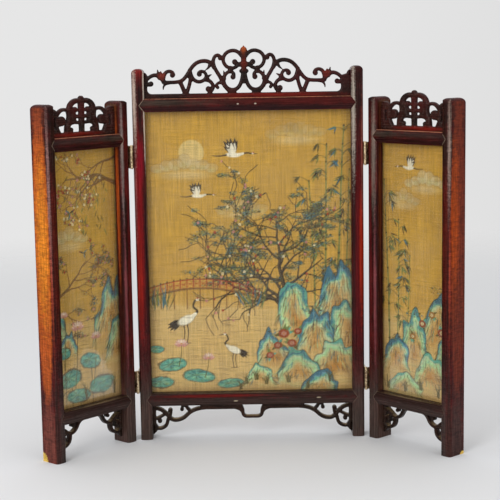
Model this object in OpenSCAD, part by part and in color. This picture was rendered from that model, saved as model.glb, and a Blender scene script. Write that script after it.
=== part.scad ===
// Three-fold table screen: a tall centre panel and two narrower, lower wings on
// small brass hinges, each with a pierced crest, a glazed picture and a pierced apron.
// X runs along the centre panel, Y goes to the back, Z is up and the feet stand on Z = 0.

/* [Panels] */
// Width of the centre panel over its stiles
centre_w = 225; // [222:1:300]
// Height of the centre panel's stiles
centre_h = 370; // [345:1:460]
// Width of a wing over its stiles
wing_w = 105; // [90:1:108]
// Height of a wing's stiles
wing_h = 340; // [300:1:365]
// Depth of every frame member from front to back
frame_d = 21; // [18:0.5:28]
// Angle that each wing is folded forward from flat
fold = 48; // [0:1:90]

/* [Stiles] */
// Width of a stile
stile_w = 12; // [11:0.5:16]
// Radius of a stile's long front edges
stile_edge_r = 3.2; // [1:0.1:4]
// Rise of the gently crowned stile front
stile_crown = 0.7; // [0.2:0.1:0.8]
// Radius of a stile's top end, seen from the front
top_front_r = 5; // [1:0.5:5]
// Radius of a stile's top end, seen from the side
top_side_r = 4.5; // [1:0.5:8]

/* [Rails] */
// Height of a rail
rail_h = 12.8; // [12:0.2:18]
// Radius of the crowned rail front
rail_crown_r = 16; // [13:0.5:30]
// Centre panel: from the stile tops down to the top rail
centre_top_drop = 29; // [28:0.5:45]
// Wing: from the stile tops down to the top rail
wing_top_drop = 31.5; // [28:0.5:45]
// Centre panel: from the floor up to the bottom rail
centre_leg = 34.5; // [34:0.5:60]
// Wing: from the floor up to the bottom rail
wing_leg = 36; // [34:0.5:60]
// How far a rail's pointed end runs into the stile
mitre_run = 4.8; // [3:0.2:6]
// Depth of the pointed mitre behind the front
mitre_d = 6; // [4:0.5:7]
// Length of a tenon
tenon_l = 7.5; // [4:0.5:8]
// Height of a tenon
tenon_h = 6.2; // [4:0.2:6.4]
// Thickness of a tenon
tenon_t = 6; // [4:0.5:8]
// Glue room at the bottom of a mortise
glue_room = 0.5; // [0.2:0.1:1]

/* [Carving] */
// Thickness of the pierced crests
crest_t = 4; // [3:0.5:6]
// Thickness of the pierced aprons
apron_t = 6; // [4:0.5:8]
// Height of the centre crest over its rail
centre_crest_h = 50; // [40:1:70]
// Height of a wing crest over its rail
wing_crest_h = 38; // [32:1:55]
// Drop of the centre apron under its rail
centre_apron_h = 32; // [26:0.5:33.5]
// Drop of a wing apron under its rail
wing_apron_h = 31; // [26:0.5:33.5]
// Height of the strip along a crest's foot
base_strip = 4.4; // [3:0.2:6]
// How far the crests lie behind the front
crest_back = 7; // [6.5:0.5:9]
// How far left of the middle the centre crest's pattern was sawn
crest_off = 3; // [0:0.2:4]
// How deep the carved boards are let into the rails
housing = 2; // [1:0.5:2.5]
// How deep the carved boards are let into the stiles
end_housing = 1.5; // [0.5:0.5:2]
// Width of the plain post at a carved board's end
end_post = 3; // [2:0.5:4]
// Height of the centre crest's end post
centre_crest_post = 20; // [16:0.5:22]
// Height of a wing crest's end post
wing_crest_post = 21; // [16:0.5:23]
// Drop of the centre apron's end post
centre_apron_post = 22.4; // [18:0.2:24]
// Drop of a wing apron's end post
wing_apron_post = 21.8; // [18:0.2:24]
// Height of the rounded shoulder on the centre crest's end post
shoulder_h = 5.4; // [3:0.2:7]
// Radius of the fillet between the centre crest's post and its foot strip
post_fillet = 4.2; // [2:0.2:6]
// Height of the band along the top of the centre apron
band_h = 6.8; // [5:0.2:9]
// Half the width of the gap in that band, where the loop hangs
loop_half = 9.9; // [8:0.1:12]
// Height of the strip that closes that gap
loop_strip = 1.9; // [1:0.1:4]
// Drop of the loop under the rail
loop_drop = 16.3; // [14:0.1:22]
// Width of the loop's bar
loop_bar = 3; // [2.5:0.1:4]
// Height of the strip along the top of a wing apron
wing_strip = 3; // [2:0.2:5]

/* [Picture] */
// How far the glass and the aprons lie behind the front
set_back = 9; // [7:0.5:10]
// Thickness of the glass
glass_t = 2; // [1.5:0.1:3]
// Thickness of the silk on its card
silk_t = 0.6; // [0.4:0.1:1.5]
// Thickness of the backing board
board_t = 3; // [2:0.5:4]
// Width of the rebate that holds glass, silk and board
rebate = 3; // [2:0.5:3]
// Play between the glass edge and the rebate
edge_play = 0.3; // [0.1:0.1:0.5]
// Diameter of a backing pin
brad_d = 1; // [0.6:0.1:1.4]
// Length of a backing pin
brad_l = 10; // [8:0.5:11]
// How deep a backing pin is driven into the frame
brad_in = 5.5; // [4:0.5:6]

/* [Hinges] */
// Length of a hinge
hinge_l = 22; // [16:1:35]
// Share of the length taken by the middle knuckle
middle_share = 0.44; // [0.3:0.02:0.6]
// Diameter of the knuckles
knuckle_d = 3.2; // [2.6:0.1:3.2]
// Thickness of a leaf
leaf_t = 1.1; // [0.8:0.1:1.2]
// Width of a leaf from the pin to its back edge
leaf_w = 15; // [12:0.5:17]
// Diameter of a hinge pin
pin_d = 1.6; // [1.2:0.1:1.8]
// Running clearance round the pin, on the radius
pin_play = 0.04; // [0.02:0.01:0.08]
// Gap between two knuckles
knuckle_play = 0.15; // [0.1:0.05:0.3]
// Gap between a leaf and the other leaf's knuckles
leaf_play = 0.3; // [0.2:0.05:0.5]
// Diameter of a hinge pin's heads
pin_head_d = 2.5; // [2.2:0.1:2.8]
// Thickness of a hinge pin's heads
pin_head_t = 0.6; // [0.4:0.1:1]
// Gap between the centre panel and a wing when flat
fold_gap = 3; // [2.8:0.1:4]
// How far the pin's axis lies in front of the panels
pin_front = 1; // [0.8:0.1:2]
// From the floor to the lower hinge
low_hinge = 49; // [48:1:90]
// From a wing's top down to the upper hinge
high_hinge = 44; // [44:1:90]
// Diameter of a hinge screw's shank
screw_d = 1.8; // [1.4:0.1:2.2]
// Diameter of a hinge screw's head
head_d = 3.6; // [3:0.1:4.4]
// Length of a hinge screw
screw_l = 8; // [5:0.5:8]
// Length of a hinge screw's point
point_l = 1.5; // [1:0.1:2.5]
// From the front of a stile back to the screws
screw_y = 7.7; // [6:0.1:9]
// From a hinge's ends to its screws
screw_z = 6; // [4:0.2:7]

/* [Hidden] */

wood = "#4a1a18";
silk_tone = "#b08c42";
glass_tone = "#dfe6e2";
board_tone = "#8a6a48";
brass = "#a08a5c";

// A panel is listed as its width, its height, its top drop, its leg, its crest's height,
// its apron's drop, and the lengths of their end posts.
centre = [centre_w, centre_h, centre_top_drop, centre_leg, centre_crest_h, centre_apron_h,
    centre_crest_post, centre_apron_post];
wing = [wing_w, wing_h, wing_top_drop, wing_leg, wing_crest_h, wing_apron_h,
    wing_crest_post, wing_apron_post];

// The carvings are drawn at these sizes, and then fitted to the panel: from the middle to
// the stile's face, the crest's height and the apron's drop.
function drawn(p) = p == centre ? [100.5, 50, 32] : [40.5, 38, 31];

function open_w(p) = p[0] - 2 * stile_w;
function rail_top(p) = p[1] - p[2];
function open_low(p) = p[3] + rail_h;
function open_high(p) = rail_top(p) - rail_h;
function open_h(p) = open_high(p) - open_low(p);

// The tenon keeps clear of the rebate on one side and of the carving's groove on the other.
tenon_edge = (rail_h - rebate - housing - tenon_h) / 2 + housing;
tenon_y = max(mitre_d, set_back - 1) + 1;
board_back = set_back + glass_t + silk_t + board_t;
brad_y = board_back + brad_d / 2;

// The hinge pin stands midway in the gap, and its two end knuckles are alike.
pin_side = fold_gap / 2;
middle_l = hinge_l * middle_share;
end_l = (hinge_l - middle_l) / 2;
upper_hinge_z = wing_h - high_hinge - hinge_l;
leaf_start = sqrt(pow(knuckle_d / 2 + leaf_play, 2) - pow(max(pin_side - leaf_t, 0), 2))
    - pin_front;
head_h = min(leaf_t, (head_d - screw_d) / 2);
point_d = 0.4;

// The part is centred from front to back, so that the middle of its box is on Y = 0. Its
// foremost line is the rounded front edge of a folded wing's outer stile.
reach = pin_side + wing_w - stile_edge_r;
front_y = -pin_front - reach * sin(fold) + (pin_front + stile_edge_r) * cos(fold) - stile_edge_r;
shift_y = -(min(front_y, -pin_front - knuckle_d / 2) + frame_d) / 2;

$fn = 48;

module in_centre() {
    translate([-centre_w / 2, shift_y, 0]) children();
}

// A wing's own frame has its hinge side at X = 0 and its front at Y = 0.
module in_right() {
    translate([centre_w / 2 + pin_side, shift_y - pin_front, 0])
        rotate([0, 0, -fold])
            translate([pin_side, pin_front, 0]) children();
}

module in_left() {
    mirror([1, 0, 0]) in_right() children();
}

module far_side(p) {
    translate([p[0], 0, 0]) mirror([1, 0, 0]) children();
}

// Frame members

module stile_plan() {
    crown_r = (pow(stile_w / 2, 2) + pow(stile_crown, 2)) / (2 * stile_crown);
    intersection() {
        union() {
            translate([0, stile_edge_r]) square([stile_w, frame_d - stile_edge_r]);
            translate([stile_edge_r, 0]) square([stile_w - 2 * stile_edge_r, frame_d]);
            for (x = [stile_edge_r, stile_w - stile_edge_r])
                translate([x, stile_edge_r]) circle(r = stile_edge_r);
        }
        translate([stile_w / 2, crown_r]) circle(r = crown_r);
    }
}

module round_top(w, h, r) {
    square([w, h - r]);
    translate([r, 0]) square([w - 2 * r, h]);
    for (x = [r, w - r]) translate([x, h - r]) circle(r = r);
}

// The outline of a rail seen from the front, with its two pointed ends.
module rail_face(p) {
    w = open_w(p);
    polygon([
        [0, 0], [-mitre_run, rail_h / 2], [0, rail_h],
        [w, rail_h], [w + mitre_run, rail_h / 2], [w, 0]
    ]);
}

module mortise(z, up) {
    low = up ? z + tenon_edge : z + rail_h - tenon_edge - tenon_h;
    translate([stile_w - tenon_l - glue_room, tenon_y, low])
        cube([tenon_l + glue_room + 1, tenon_t, tenon_h]);
}

// A stile with its glass side at X = stile_w.
module stile(p, hinged) {
    top = rail_top(p);
    difference() {
        intersection() {
            linear_extrude(p[1]) stile_plan();
            rotate([90, 0, 90]) linear_extrude(stile_w) round_top(frame_d, p[1], top_side_r);
            translate([0, frame_d, 0]) rotate([90, 0, 0])
                linear_extrude(frame_d) round_top(stile_w, p[1], top_front_r);
        }
        for (z = [p[3], top - rail_h])
            translate([stile_w, mitre_d, z]) rotate([90, 0, 0])
                linear_extrude(mitre_d + 1) rail_face(p);
        mortise(p[3], true);
        mortise(top - rail_h, false);
        translate([stile_w - rebate, set_back, open_low(p) - rebate])
            cube([rebate + 1, frame_d, open_h(p) + 2 * rebate]);
        translate([stile_w - end_housing, crest_back, top - housing])
            cube([end_housing + 1, crest_t, housing + p[6]]);
        translate([stile_w - end_housing, set_back, p[3] - p[7]])
            cube([end_housing + 1, apron_t, housing + p[7]]);
        for (z = side_brads(p))
            translate([stile_w - rebate - brad_in, brad_y, z]) rotate([0, 90, 0])
                cylinder(d = brad_d, h = brad_in + 1);
        if (hinged)
            for (z = [low_hinge, upper_hinge_z])
                screw_places(z) cylinder(d = screw_d, h = screw_l);
    }
}

module rail_body(p) {
    w = open_w(p);
    intersection() {
        translate([-mitre_run, 0, 0]) rotate([90, 0, 90])
            linear_extrude(w + 2 * mitre_run) intersection() {
                square([frame_d, rail_h]);
                union() {
                    translate([rail_crown_r, rail_h / 2]) circle(r = rail_crown_r);
                    translate([rail_crown_r, 0]) square([frame_d, rail_h]);
                }
            }
        union() {
            translate([0, mitre_d, 0]) rotate([90, 0, 0]) linear_extrude(mitre_d) rail_face(p);
            cube([w, frame_d, rail_h]);
        }
    }
}

// A rail as it lies under a crest, with the rebate below and the carving's groove above.
// The groove lies back behind the front and is as wide as the board that goes in it.
module rail(p, back, board) {
    w = open_w(p);
    difference() {
        union() {
            rail_body(p);
            translate([-tenon_l, tenon_y, rail_h - tenon_edge - tenon_h])
                cube([w + 2 * tenon_l, tenon_t, tenon_h]);
        }
        translate([-1, set_back, -1]) cube([w + 2, frame_d, rebate + 1]);
        translate([0, back, rail_h - housing]) cube([w, board, housing + 1]);
        for (x = end_brads(p))
            translate([x, brad_y, 0]) cylinder(d = brad_d, h = rebate + brad_in);
    }
}

module top_rail(p) {
    translate([stile_w, 0, open_high(p)]) rail(p, crest_back, crest_t);
}

module bottom_rail(p) {
    translate([stile_w, 0, open_low(p)]) mirror([0, 0, 1]) rail(p, set_back, apron_t);
}

// Carved boards

function along(p, i, t) =
    let (a = p[max(i - 1, 0)], b = p[i], c = p[i + 1], d = p[min(i + 2, len(p) - 1)])
    0.5 * (2 * b + (c - a) * t + (2 * a - 5 * b + 4 * c - d) * t * t
        + (3 * b - a - 3 * c + d) * t * t * t);

// A curved stroke through the points p, going from width w1 to width w2.
module stroke(p, w1, w2, steps = 3) {
    n = (len(p) - 1) * steps;
    line = [for (k = [0:n]) along(p, min(floor(k / steps), len(p) - 2),
        k == n ? 1 : (k % steps) / steps)];
    side = [for (k = [0:n]) let (v = line[min(k + 1, n)] - line[max(k - 1, 0)])
        [-v[1], v[0]] / norm(v) * (w1 + (w2 - w1) * k / n) / 2];
    for (k = [0:n - 1])
        polygon([line[k] + side[k], line[k + 1] + side[k + 1],
            line[k + 1] - side[k + 1], line[k] - side[k]]);
    translate(line[0]) circle(d = w1, $fn = 12);
    translate(line[n]) circle(d = w2, $fn = 12);
}

module ball(x, y, r) {
    translate([x, y]) circle(r = r, $fn = 20);
}

// Strokes of half the centre crest: x from the stem to the stile's face at 100.5, y from
// the rail's top, for a crest 50 high.
module centre_crest_half() {
    // end scroll with its bud
    stroke([[100, 15], [97.4, 18.6], [93.4, 21.6], [88.8, 22.6], [84.6, 20.6], [81, 17]], 3.4, 4.4);
    stroke([[98, 15], [96.4, 13.6], [94, 13.6]], 4, 4, 2);
    ball(93.6, 14.2, 2.6);
    stroke([[84.8, 20], [86, 24], [86.8, 27.8]], 4.6, 0.8, 2);
    stroke([[83.4, 20], [83, 23.4], [83.6, 26]], 3.5, 1.2, 2);
    // second scroll
    stroke([[81.4, 17], [80.4, 21.6], [78.4, 25], [75, 26.2], [71.8, 25.2], [70.4, 22.8]],
        4.2, 3.1);
    ball(71.8, 22.4, 2.6);
    // long stem rising to the shoulder
    stroke([[81.4, 8.6], [81, 11.4], [78.8, 14], [75, 15.2]], 0.9, 3.8);
    stroke([[81.2, 15.6], [75, 15.4], [68, 15.6], [63, 16.8], [59.4, 19.6], [55.8, 24.4],
        [52, 29.8], [47.2, 33.9], [41.4, 35.6], [35.8, 35], [31.8, 32.2], [29.8, 29]],
        3.6, 4.2);
    stroke([[34, 31.8], [35.8, 28.8], [38.4, 27]], 3.8, 0.8, 2);
    // two struts under the shoulder
    stroke([[64.4, 16], [62, 10.5], [59.2, 3.6]], 4.3, 4.3);
    stroke([[54.6, 25], [54, 18], [55.4, 11.5], [58.2, 3.6]], 3.8, 3.8);
    // spiral within the shoulder
    stroke([[54.4, 27], [52.6, 20.8], [49.8, 17.2], [45.8, 15.6], [41.6, 16.4], [38.4, 19],
        [38.2, 22.6], [40.4, 25.2], [43.6, 25.6], [45.6, 24.2]], 4, 3);
    ball(44.8, 23, 2.6);
    stroke([[38.6, 18.6], [35.4, 21], [32.6, 22.4]], 4.2, 0.8, 2);
    stroke([[38, 20.4], [35.2, 18.6]], 3, 1.2, 1);
    // scroll that sits on the base
    stroke([[38.8, 17.4], [34.6, 16.2], [31.8, 13], [31.4, 9], [33.4, 6.2]], 3.8, 3.5);
    ball(36, 8.4, 2.9);
    stroke([[34.6, 7], [34.6, 3]], 4.6, 4.6, 1);
    // inner stem with its hooks
    stroke([[23, 39.2], [25.8, 41], [29, 39.6], [30.6, 35.2], [29.6, 29.8], [27, 24.8],
        [24.2, 20.4], [22, 15.8], [19.6, 11.4], [15.6, 7]], 3.5, 4.2);
    ball(23.8, 38, 2.1);
    stroke([[22.2, 14.2], [25.6, 14.2], [28, 12], [27.4, 10.4]], 3.2, 2.6);
    ball(26.6, 9.8, 1.8);
    stroke([[19.4, 18], [20, 22.6], [20.2, 26]], 3.2, 0.8, 2);
    // lower volute, a round scroll that rests on the base
    stroke([[10.2, 19.6], [10.2, 22.8], [13, 25], [16.8, 24], [19.6, 20.6], [20.4, 16.4],
        [19.2, 12], [16, 8.6], [11.8, 7.3], [7.6, 8.3], [4.6, 11.2], [2.6, 15.4], [1.4, 20],
        [0.8, 24]], 3.4, 4.2);
    ball(11, 19.8, 2.7);
    stroke([[14.2, 6], [9.8, 6]], 4.6, 4.6, 1);
    stroke([[14, 25], [13.6, 28.6]], 4.2, 4.2, 1);
    // upper volute
    stroke([[8.8, 33.8], [6, 32.4], [7.6, 29.6], [12.2, 28.2], [17, 29.8], [20, 33.6],
        [20.4, 38], [18.4, 42], [14.4, 44.6], [9.4, 45.2], [5.2, 43.4], [2.2, 40]], 3.5, 3.8);
    ball(9, 34.2, 2.8);
    // collars and finial
    stroke([[0, 14.8], [0, 26]], 3.4, 4.2, 1);
    stroke([[0, 24], [0, 45]], 5, 6, 1);
    ball(2.8, 25.4, 2);
    ball(4, 31.8, 2.5);
    ball(0, 31.4, 3.6);
    ball(0, 45.4, 3.5);
    stroke([[0, 45.6], [0, 49.3]], 5, 1.4, 1);
}

// Strokes of half a wing crest: x from the stem to the stile's face at 40.5, y from the
// rail's top, for a crest 38 high.
module wing_crest_half() {
    // end post and side scroll
    stroke([[38.4, 3], [38.4, 15], [38.4, 23.5]], 4.8, 4.6, 2);
    stroke([[39.4, 25], [36.2, 25.4], [32.8, 23.6], [32.2, 20.6]], 3, 4);
    stroke([[40, 21.4], [32, 21.4]], 5.6, 5.6, 1);
    stroke([[40, 6.6], [31, 6.6]], 5, 5, 1);
    stroke([[16.8, 24.4], [21, 25.6], [25.6, 25], [29.6, 22], [32, 17.6], [32.2, 12.4],
        [30.6, 7.6], [28.4, 3.4]], 3.4, 4.4);
    stroke([[27, 14], [31.4, 14.6]], 8, 7, 1);
    ball(25.2, 15, 4.7);
    // inner stem
    stroke([[16.4, 25], [15.6, 19.5], [16.9, 14.5], [18.8, 9.8], [19.4, 3.4]], 4.4, 4.2);
    // upper volute
    stroke([[1.5, 32.9], [6, 33.4], [10.6, 32], [14, 28.9], [15, 25], [13.4, 21.8], [10.4, 20.6]],
        4.8, 6.2);
    stroke([[13, 24.4], [10.4, 24.9], [8.6, 25]], 5.4, 4.4, 1);
    ball(8.2, 25, 2.8);
    // lower volute
    stroke([[2, 18.4], [7, 18.8], [11, 18.4], [15, 18.6]], 3.4, 4.8);
    ball(11.4, 15.4, 4.2);
    stroke([[2.5, 12.8], [6.5, 13], [11, 13.2], [15, 11.6], [17, 8.4], [15.8, 5.4]], 3.2, 3.6);
    ball(13.6, 6.4, 2.3);
    stroke([[14.6, 6], [15.6, 3]], 4, 5, 1);
    // stem and finial
    stroke([[0, 3], [0, 34]], 5.4, 6.6, 1);
    ball(3.4, 24.6, 1.7);
    ball(3.2, 13, 1.5);
    stroke([[0, 33], [0, 34.9]], 6.4, 6.4, 1);
}

// Strokes of a bracket of the centre apron: x from the stile's face, y down from the rail,
// for a drop of 32.
module centre_bracket() {
    polygon([[0, 0], [3, 0], [3, 22], [5, 24.5], [4.6, 27], [2.8, 29.6], [0, 32]]);
    // long upper scroll
    stroke([[54, 4.9], [48, 5.5], [42.3, 7], [36.8, 10], [31.4, 14.8], [26, 17],
        [20.8, 17.2], [17.2, 15], [14, 11.3], [11, 8.3], [7.5, 6], [2, 4.4]], 3.8, 3.8);
    stroke([[15.2, 13], [17.8, 11.8], [18, 8.5]], 2.6, 3, 2);
    ball(17.5, 7.3, 2.4);
    stroke([[30, 1], [29.6, 5]], 2.8, 2.8, 1);
    ball(29.3, 6.2, 2);
    stroke([[38.5, 9], [35.2, 5.6], [32.4, 1]], 3.2, 3.4, 2);
    // lower scroll
    stroke([[15, 16.5], [13.7, 21.5], [11.3, 24.2], [7.8, 25.7], [4.4, 25.4], [2, 22]], 3.6, 3.2);
    stroke([[12.6, 10.6], [9, 12.9], [6, 14.4], [2, 16]], 3, 3);
    stroke([[6.4, 14], [6.8, 17.4]], 2.8, 2.8, 1);
    ball(6.8, 18, 2.2);
}

// Half the loop that hangs in the middle of the centre apron, from inside the band.
module apron_loop() {
    a = loop_half;
    d = loop_drop - loop_bar / 2;
    stroke([[a * 1.16, d * 0.28], [a, d * 0.54], [a * 0.97, d * 0.79], [a * 0.8, d * 0.95],
        [a * 0.5, d], [0, d]], loop_bar * 1.25, loop_bar);
    translate([a, 0]) polygon([[0.5, band_h * 0.4], [a * 0.8, band_h * 0.6], [a * 0.8, band_h],
        [a * 0.52, band_h * 1.13], [a * 0.31, band_h * 1.3], [a * 0.21, band_h * 1.5],
        [0.5, band_h * 1.5]]);
}

// Strokes of a bracket of a wing apron, for a drop of 31.
module wing_bracket() {
    polygon([[0, 0], [3, 0], [3, 22], [4.8, 24.5], [4.2, 27], [2.4, 29.2], [0, 31]]);
    // upper scroll
    stroke([[33, 1.4], [28, 2.6], [24.8, 5.2], [22.4, 9], [19.4, 11.8], [15.5, 13.1],
        [12, 12.2], [8.6, 9.6], [5.6, 7.6], [2, 6.4]], 3.2, 3.6);
    stroke([[19.4, 1], [18.2, 4.8]], 3, 3, 1);
    ball(17.6, 5.4, 1.9);
    // lower scroll
    stroke([[14.2, 13], [13.6, 18.4], [11.8, 21.8], [8.6, 24], [5.4, 24.7], [2, 22]], 3.6, 3.2);
    stroke([[11, 11.6], [7, 13], [2, 15]], 2.8, 2.8, 2);
    stroke([[6, 13], [6.6, 16.6]], 2.8, 2.8, 1);
    ball(6.6, 17.4, 2.1);
}

module crest(p) {
    half = open_w(p) / 2;
    off = p == centre ? crest_off : 0;
    translate([p[0] / 2, crest_back + crest_t, rail_top(p)]) rotate([90, 0, 0])
        linear_extrude(crest_t) offset(delta = 0) {
            for (m = [0, 1]) mirror([m, 0, 0]) {
                // the pattern's middle, which lies off the board's on the same side in both
                mid = m == 0 ? -off : off;
                post_w = end_post + (m == 0 ? 2 * off : 0);
                intersection() {
                    translate([mid, 0])
                        scale([(half - off) / drawn(p)[0], p[4] / drawn(p)[1]]) {
                            if (p == centre) centre_crest_half();
                            else wing_crest_half();
                        }
                    translate([mid - 1, 0]) square([half - mid + 1, p[4] * 2]);
                }
                translate([half - post_w, 0]) crest_end(p, post_w);
            }
            translate([-half, -housing]) square([2 * half, housing + base_strip]);
        }
}

// The crest's end against the stile, with its shoulder, its fillet and its tongue. The post
// is as wide as w.
module crest_end(p, w) {
    post = p[6];
    r = post_fillet;
    s = shoulder_h;
    translate([w, -housing]) square([end_housing, housing + post]);
    square([w, post]);
    if (p == centre) {
        translate([w, post]) polygon([[-w, 0], [0, 0], [0, s],
            [-s * 0.26, s * 0.93], [-s * 0.5, s * 0.67], [-s * 0.63, s * 0.3]]);
        translate([-r, base_strip]) difference() {
            square([r + 0.5, r]);
            translate([0, r]) circle(r = r);
        }
    }
}

module apron(p) {
    half = open_w(p) / 2;
    translate([p[0] / 2, set_back, p[3]]) rotate([-90, 0, 0])
        linear_extrude(apron_t) offset(delta = 0) {
            for (m = [0, 1]) mirror([m, 0, 0]) {
                intersection() {
                    translate([half, 0]) mirror([1, 0, 0])
                        scale([half / drawn(p)[0], p[5] / drawn(p)[2]]) {
                            if (p == centre) centre_bracket();
                            else wing_bracket();
                        }
                    translate([-1, 0]) square([half + 1, p[5] * 2]);
                }
                translate([half, -housing]) square([end_housing, housing + p[7]]);
                if (p == centre) {
                    // the band ends where the bracket's long scroll is drawn to begin
                    band_end = half * (1 - 48 / drawn(p)[0]);
                    translate([loop_half, 0]) square([band_end - loop_half, band_h]);
                    apron_loop();
                }
            }
            translate([-half, -housing])
                square([2 * half, housing + (p == centre ? loop_strip : wing_strip)]);
        }
}

// Picture

module pane(p, y, t) {
    lap = rebate - edge_play;
    translate([stile_w - lap, y, open_low(p) - lap])
        cube([open_w(p) + 2 * lap, t, open_h(p) + 2 * lap]);
}

module glass(p) {
    pane(p, set_back, glass_t);
}

module silk(p) {
    pane(p, set_back + glass_t, silk_t);
}

module board(p) {
    pane(p, set_back + glass_t + silk_t, board_t);
}

function side_brads(p) = [for (k = [1, 3, 5]) open_low(p) + open_h(p) * k / 6];
function end_brads(p) = [for (k = [1, 3]) open_w(p) * k / 4];

module brads(p) {
    out = brad_l - brad_in;
    for (m = [0, 1], z = side_brads(p))
        translate([m * p[0], 0, 0]) mirror([m, 0, 0])
            translate([stile_w - rebate - brad_in, brad_y, z])
                rotate([0, 90, 0]) cylinder(d = brad_d, h = brad_l);
    for (x = end_brads(p)) {
        translate([stile_w + x, brad_y, open_low(p) - rebate - brad_in])
            cylinder(d = brad_d, h = brad_l);
        translate([stile_w + x, brad_y, open_high(p) + rebate - out])
            cylinder(d = brad_d, h = brad_l);
    }
}

// Hinges

// A leaf lies on a panel's side face, X = -pin_side from the pin on Z, and the panel's
// front is at Y = pin_front. Each knuckle is listed as its foot and its length.
module leaf(list, bore_d) {
    back = pin_front + leaf_start;
    for (k = list)
        translate([0, 0, k[0]]) difference() {
            union() {
                cylinder(d = knuckle_d, h = k[1]);
                translate([-pin_side, 0, 0]) cube([leaf_t, back + 0.5, k[1]]);
            }
            translate([0, 0, -1]) cylinder(d = bore_d, h = k[1] + 2);
        }
    difference() {
        translate([-pin_side, back, 0]) cube([leaf_t, leaf_w - back, hinge_l]);
        for (z = [screw_z, hinge_l - screw_z])
            translate([-pin_side, pin_front + screw_y, z]) rotate([0, 90, 0]) {
                translate([0, 0, -1]) cylinder(d = screw_d, h = leaf_t + 2);
                translate([0, 0, leaf_t - head_h])
                    cylinder(d1 = screw_d, d2 = head_d, h = head_h);
            }
    }
}

module fixed_leaf() {
    short = end_l - knuckle_play / 2;
    color(brass) leaf([[0, short], [hinge_l - short, short]], pin_d);
}

module wing_leaf() {
    color(brass) mirror([1, 0, 0])
        leaf([[end_l + knuckle_play / 2, middle_l - knuckle_play]], pin_d + 2 * pin_play);
}

module hinge_pin() {
    color(brass) {
        translate([0, 0, -pin_head_t]) cylinder(d = pin_head_d, h = pin_head_t);
        cylinder(d = pin_d, h = hinge_l);
        translate([0, 0, hinge_l]) cylinder(d = pin_head_d, h = pin_head_t);
    }
}

// Where the screws of a hinge at height z enter a stile, from the leaf's outer face.
module screw_places(z) {
    for (d = [screw_z, hinge_l - screw_z])
        translate([-leaf_t, screw_y, z + d]) rotate([0, 90, 0]) children();
}

module hinge_screws() {
    color(brass) for (z = [low_hinge, upper_hinge_z]) screw_places(z) {
        cylinder(d1 = head_d, d2 = screw_d, h = head_h);
        cylinder(d = screw_d, h = screw_l - point_l);
        translate([0, 0, screw_l - point_l]) cylinder(d1 = screw_d, d2 = point_d, h = point_l);
    }
}

module right_hinge(z, on_wing = false) {
    translate([centre_w / 2 + pin_side, shift_y - pin_front, z])
        rotate([0, 0, on_wing ? -fold : 0]) children();
}

module left_hinge(z, on_wing = false) {
    mirror([1, 0, 0]) right_hinge(z, on_wing) children();
}

// Pieces

module centre_left_stile() color(wood) in_centre() stile(centre, true);
module centre_right_stile() color(wood) in_centre() far_side(centre) stile(centre, true);
module centre_top_rail() color(wood) in_centre() top_rail(centre);
module centre_bottom_rail() color(wood) in_centre() bottom_rail(centre);
module centre_crest() color(wood) in_centre() crest(centre);
module centre_apron() color(wood) in_centre() apron(centre);
module centre_glass() color(glass_tone, 0.3) in_centre() glass(centre);
module centre_silk() color(silk_tone) in_centre() silk(centre);
module centre_board() color(board_tone) in_centre() board(centre);
module centre_brads() color(brass) in_centre() brads(centre);

module inner_stile() color(wood) stile(wing, true);
module outer_stile() color(wood) far_side(wing) stile(wing, false);
module wing_top_rail() color(wood) top_rail(wing);
module wing_bottom_rail() color(wood) bottom_rail(wing);
module wing_crest() color(wood) crest(wing);
module wing_apron() color(wood) apron(wing);
module wing_glass() color(glass_tone, 0.3) glass(wing);
module wing_silk() color(silk_tone) silk(wing);
module wing_board() color(board_tone) board(wing);
module wing_brads() color(brass) brads(wing);

centre_left_stile();
centre_right_stile();
centre_top_rail();
centre_bottom_rail();
centre_crest();
centre_apron();
centre_glass();
centre_silk();
centre_board();
centre_brads();
in_left() inner_stile();  // left_inner_stile
in_left() outer_stile();  // left_outer_stile
in_left() wing_top_rail();  // left_top_rail
in_left() wing_bottom_rail();  // left_bottom_rail
in_left() wing_crest();  // left_crest
in_left() wing_apron();  // left_apron
in_left() wing_glass();  // left_glass
in_left() wing_silk();  // left_silk
in_left() wing_board();  // left_board
in_left() wing_brads();  // left_brads
in_right() inner_stile();  // right_inner_stile
in_right() outer_stile();  // right_outer_stile
in_right() wing_top_rail();  // right_top_rail
in_right() wing_bottom_rail();  // right_bottom_rail
in_right() wing_crest();  // right_crest
in_right() wing_apron();  // right_apron
in_right() wing_glass();  // right_glass
in_right() wing_silk();  // right_silk
in_right() wing_board();  // right_board
in_right() wing_brads();  // right_brads
left_hinge(upper_hinge_z) fixed_leaf();  // left_upper_fixed_leaf
left_hinge(upper_hinge_z, true) wing_leaf();  // left_upper_wing_leaf
left_hinge(upper_hinge_z) hinge_pin();  // left_upper_pin
left_hinge(low_hinge) fixed_leaf();  // left_lower_fixed_leaf
left_hinge(low_hinge, true) wing_leaf();  // left_lower_wing_leaf
left_hinge(low_hinge) hinge_pin();  // left_lower_pin
right_hinge(upper_hinge_z) fixed_leaf();  // right_upper_fixed_leaf
right_hinge(upper_hinge_z, true) wing_leaf();  // right_upper_wing_leaf
right_hinge(upper_hinge_z) hinge_pin();  // right_upper_pin
right_hinge(low_hinge) fixed_leaf();  // right_lower_fixed_leaf
right_hinge(low_hinge, true) wing_leaf();  // right_lower_wing_leaf
right_hinge(low_hinge) hinge_pin();  // right_lower_pin
union() {  // centre_hinge_screws
    in_centre() hinge_screws();
    in_centre() far_side(centre) hinge_screws();
}
in_left() hinge_screws();  // left_hinge_screws
in_right() hinge_screws();  // right_hinge_screws
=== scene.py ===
import math
from functools import partial

import bmesh
import bpy
import numpy as np
from mathutils import Matrix, Vector, kdtree


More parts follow.
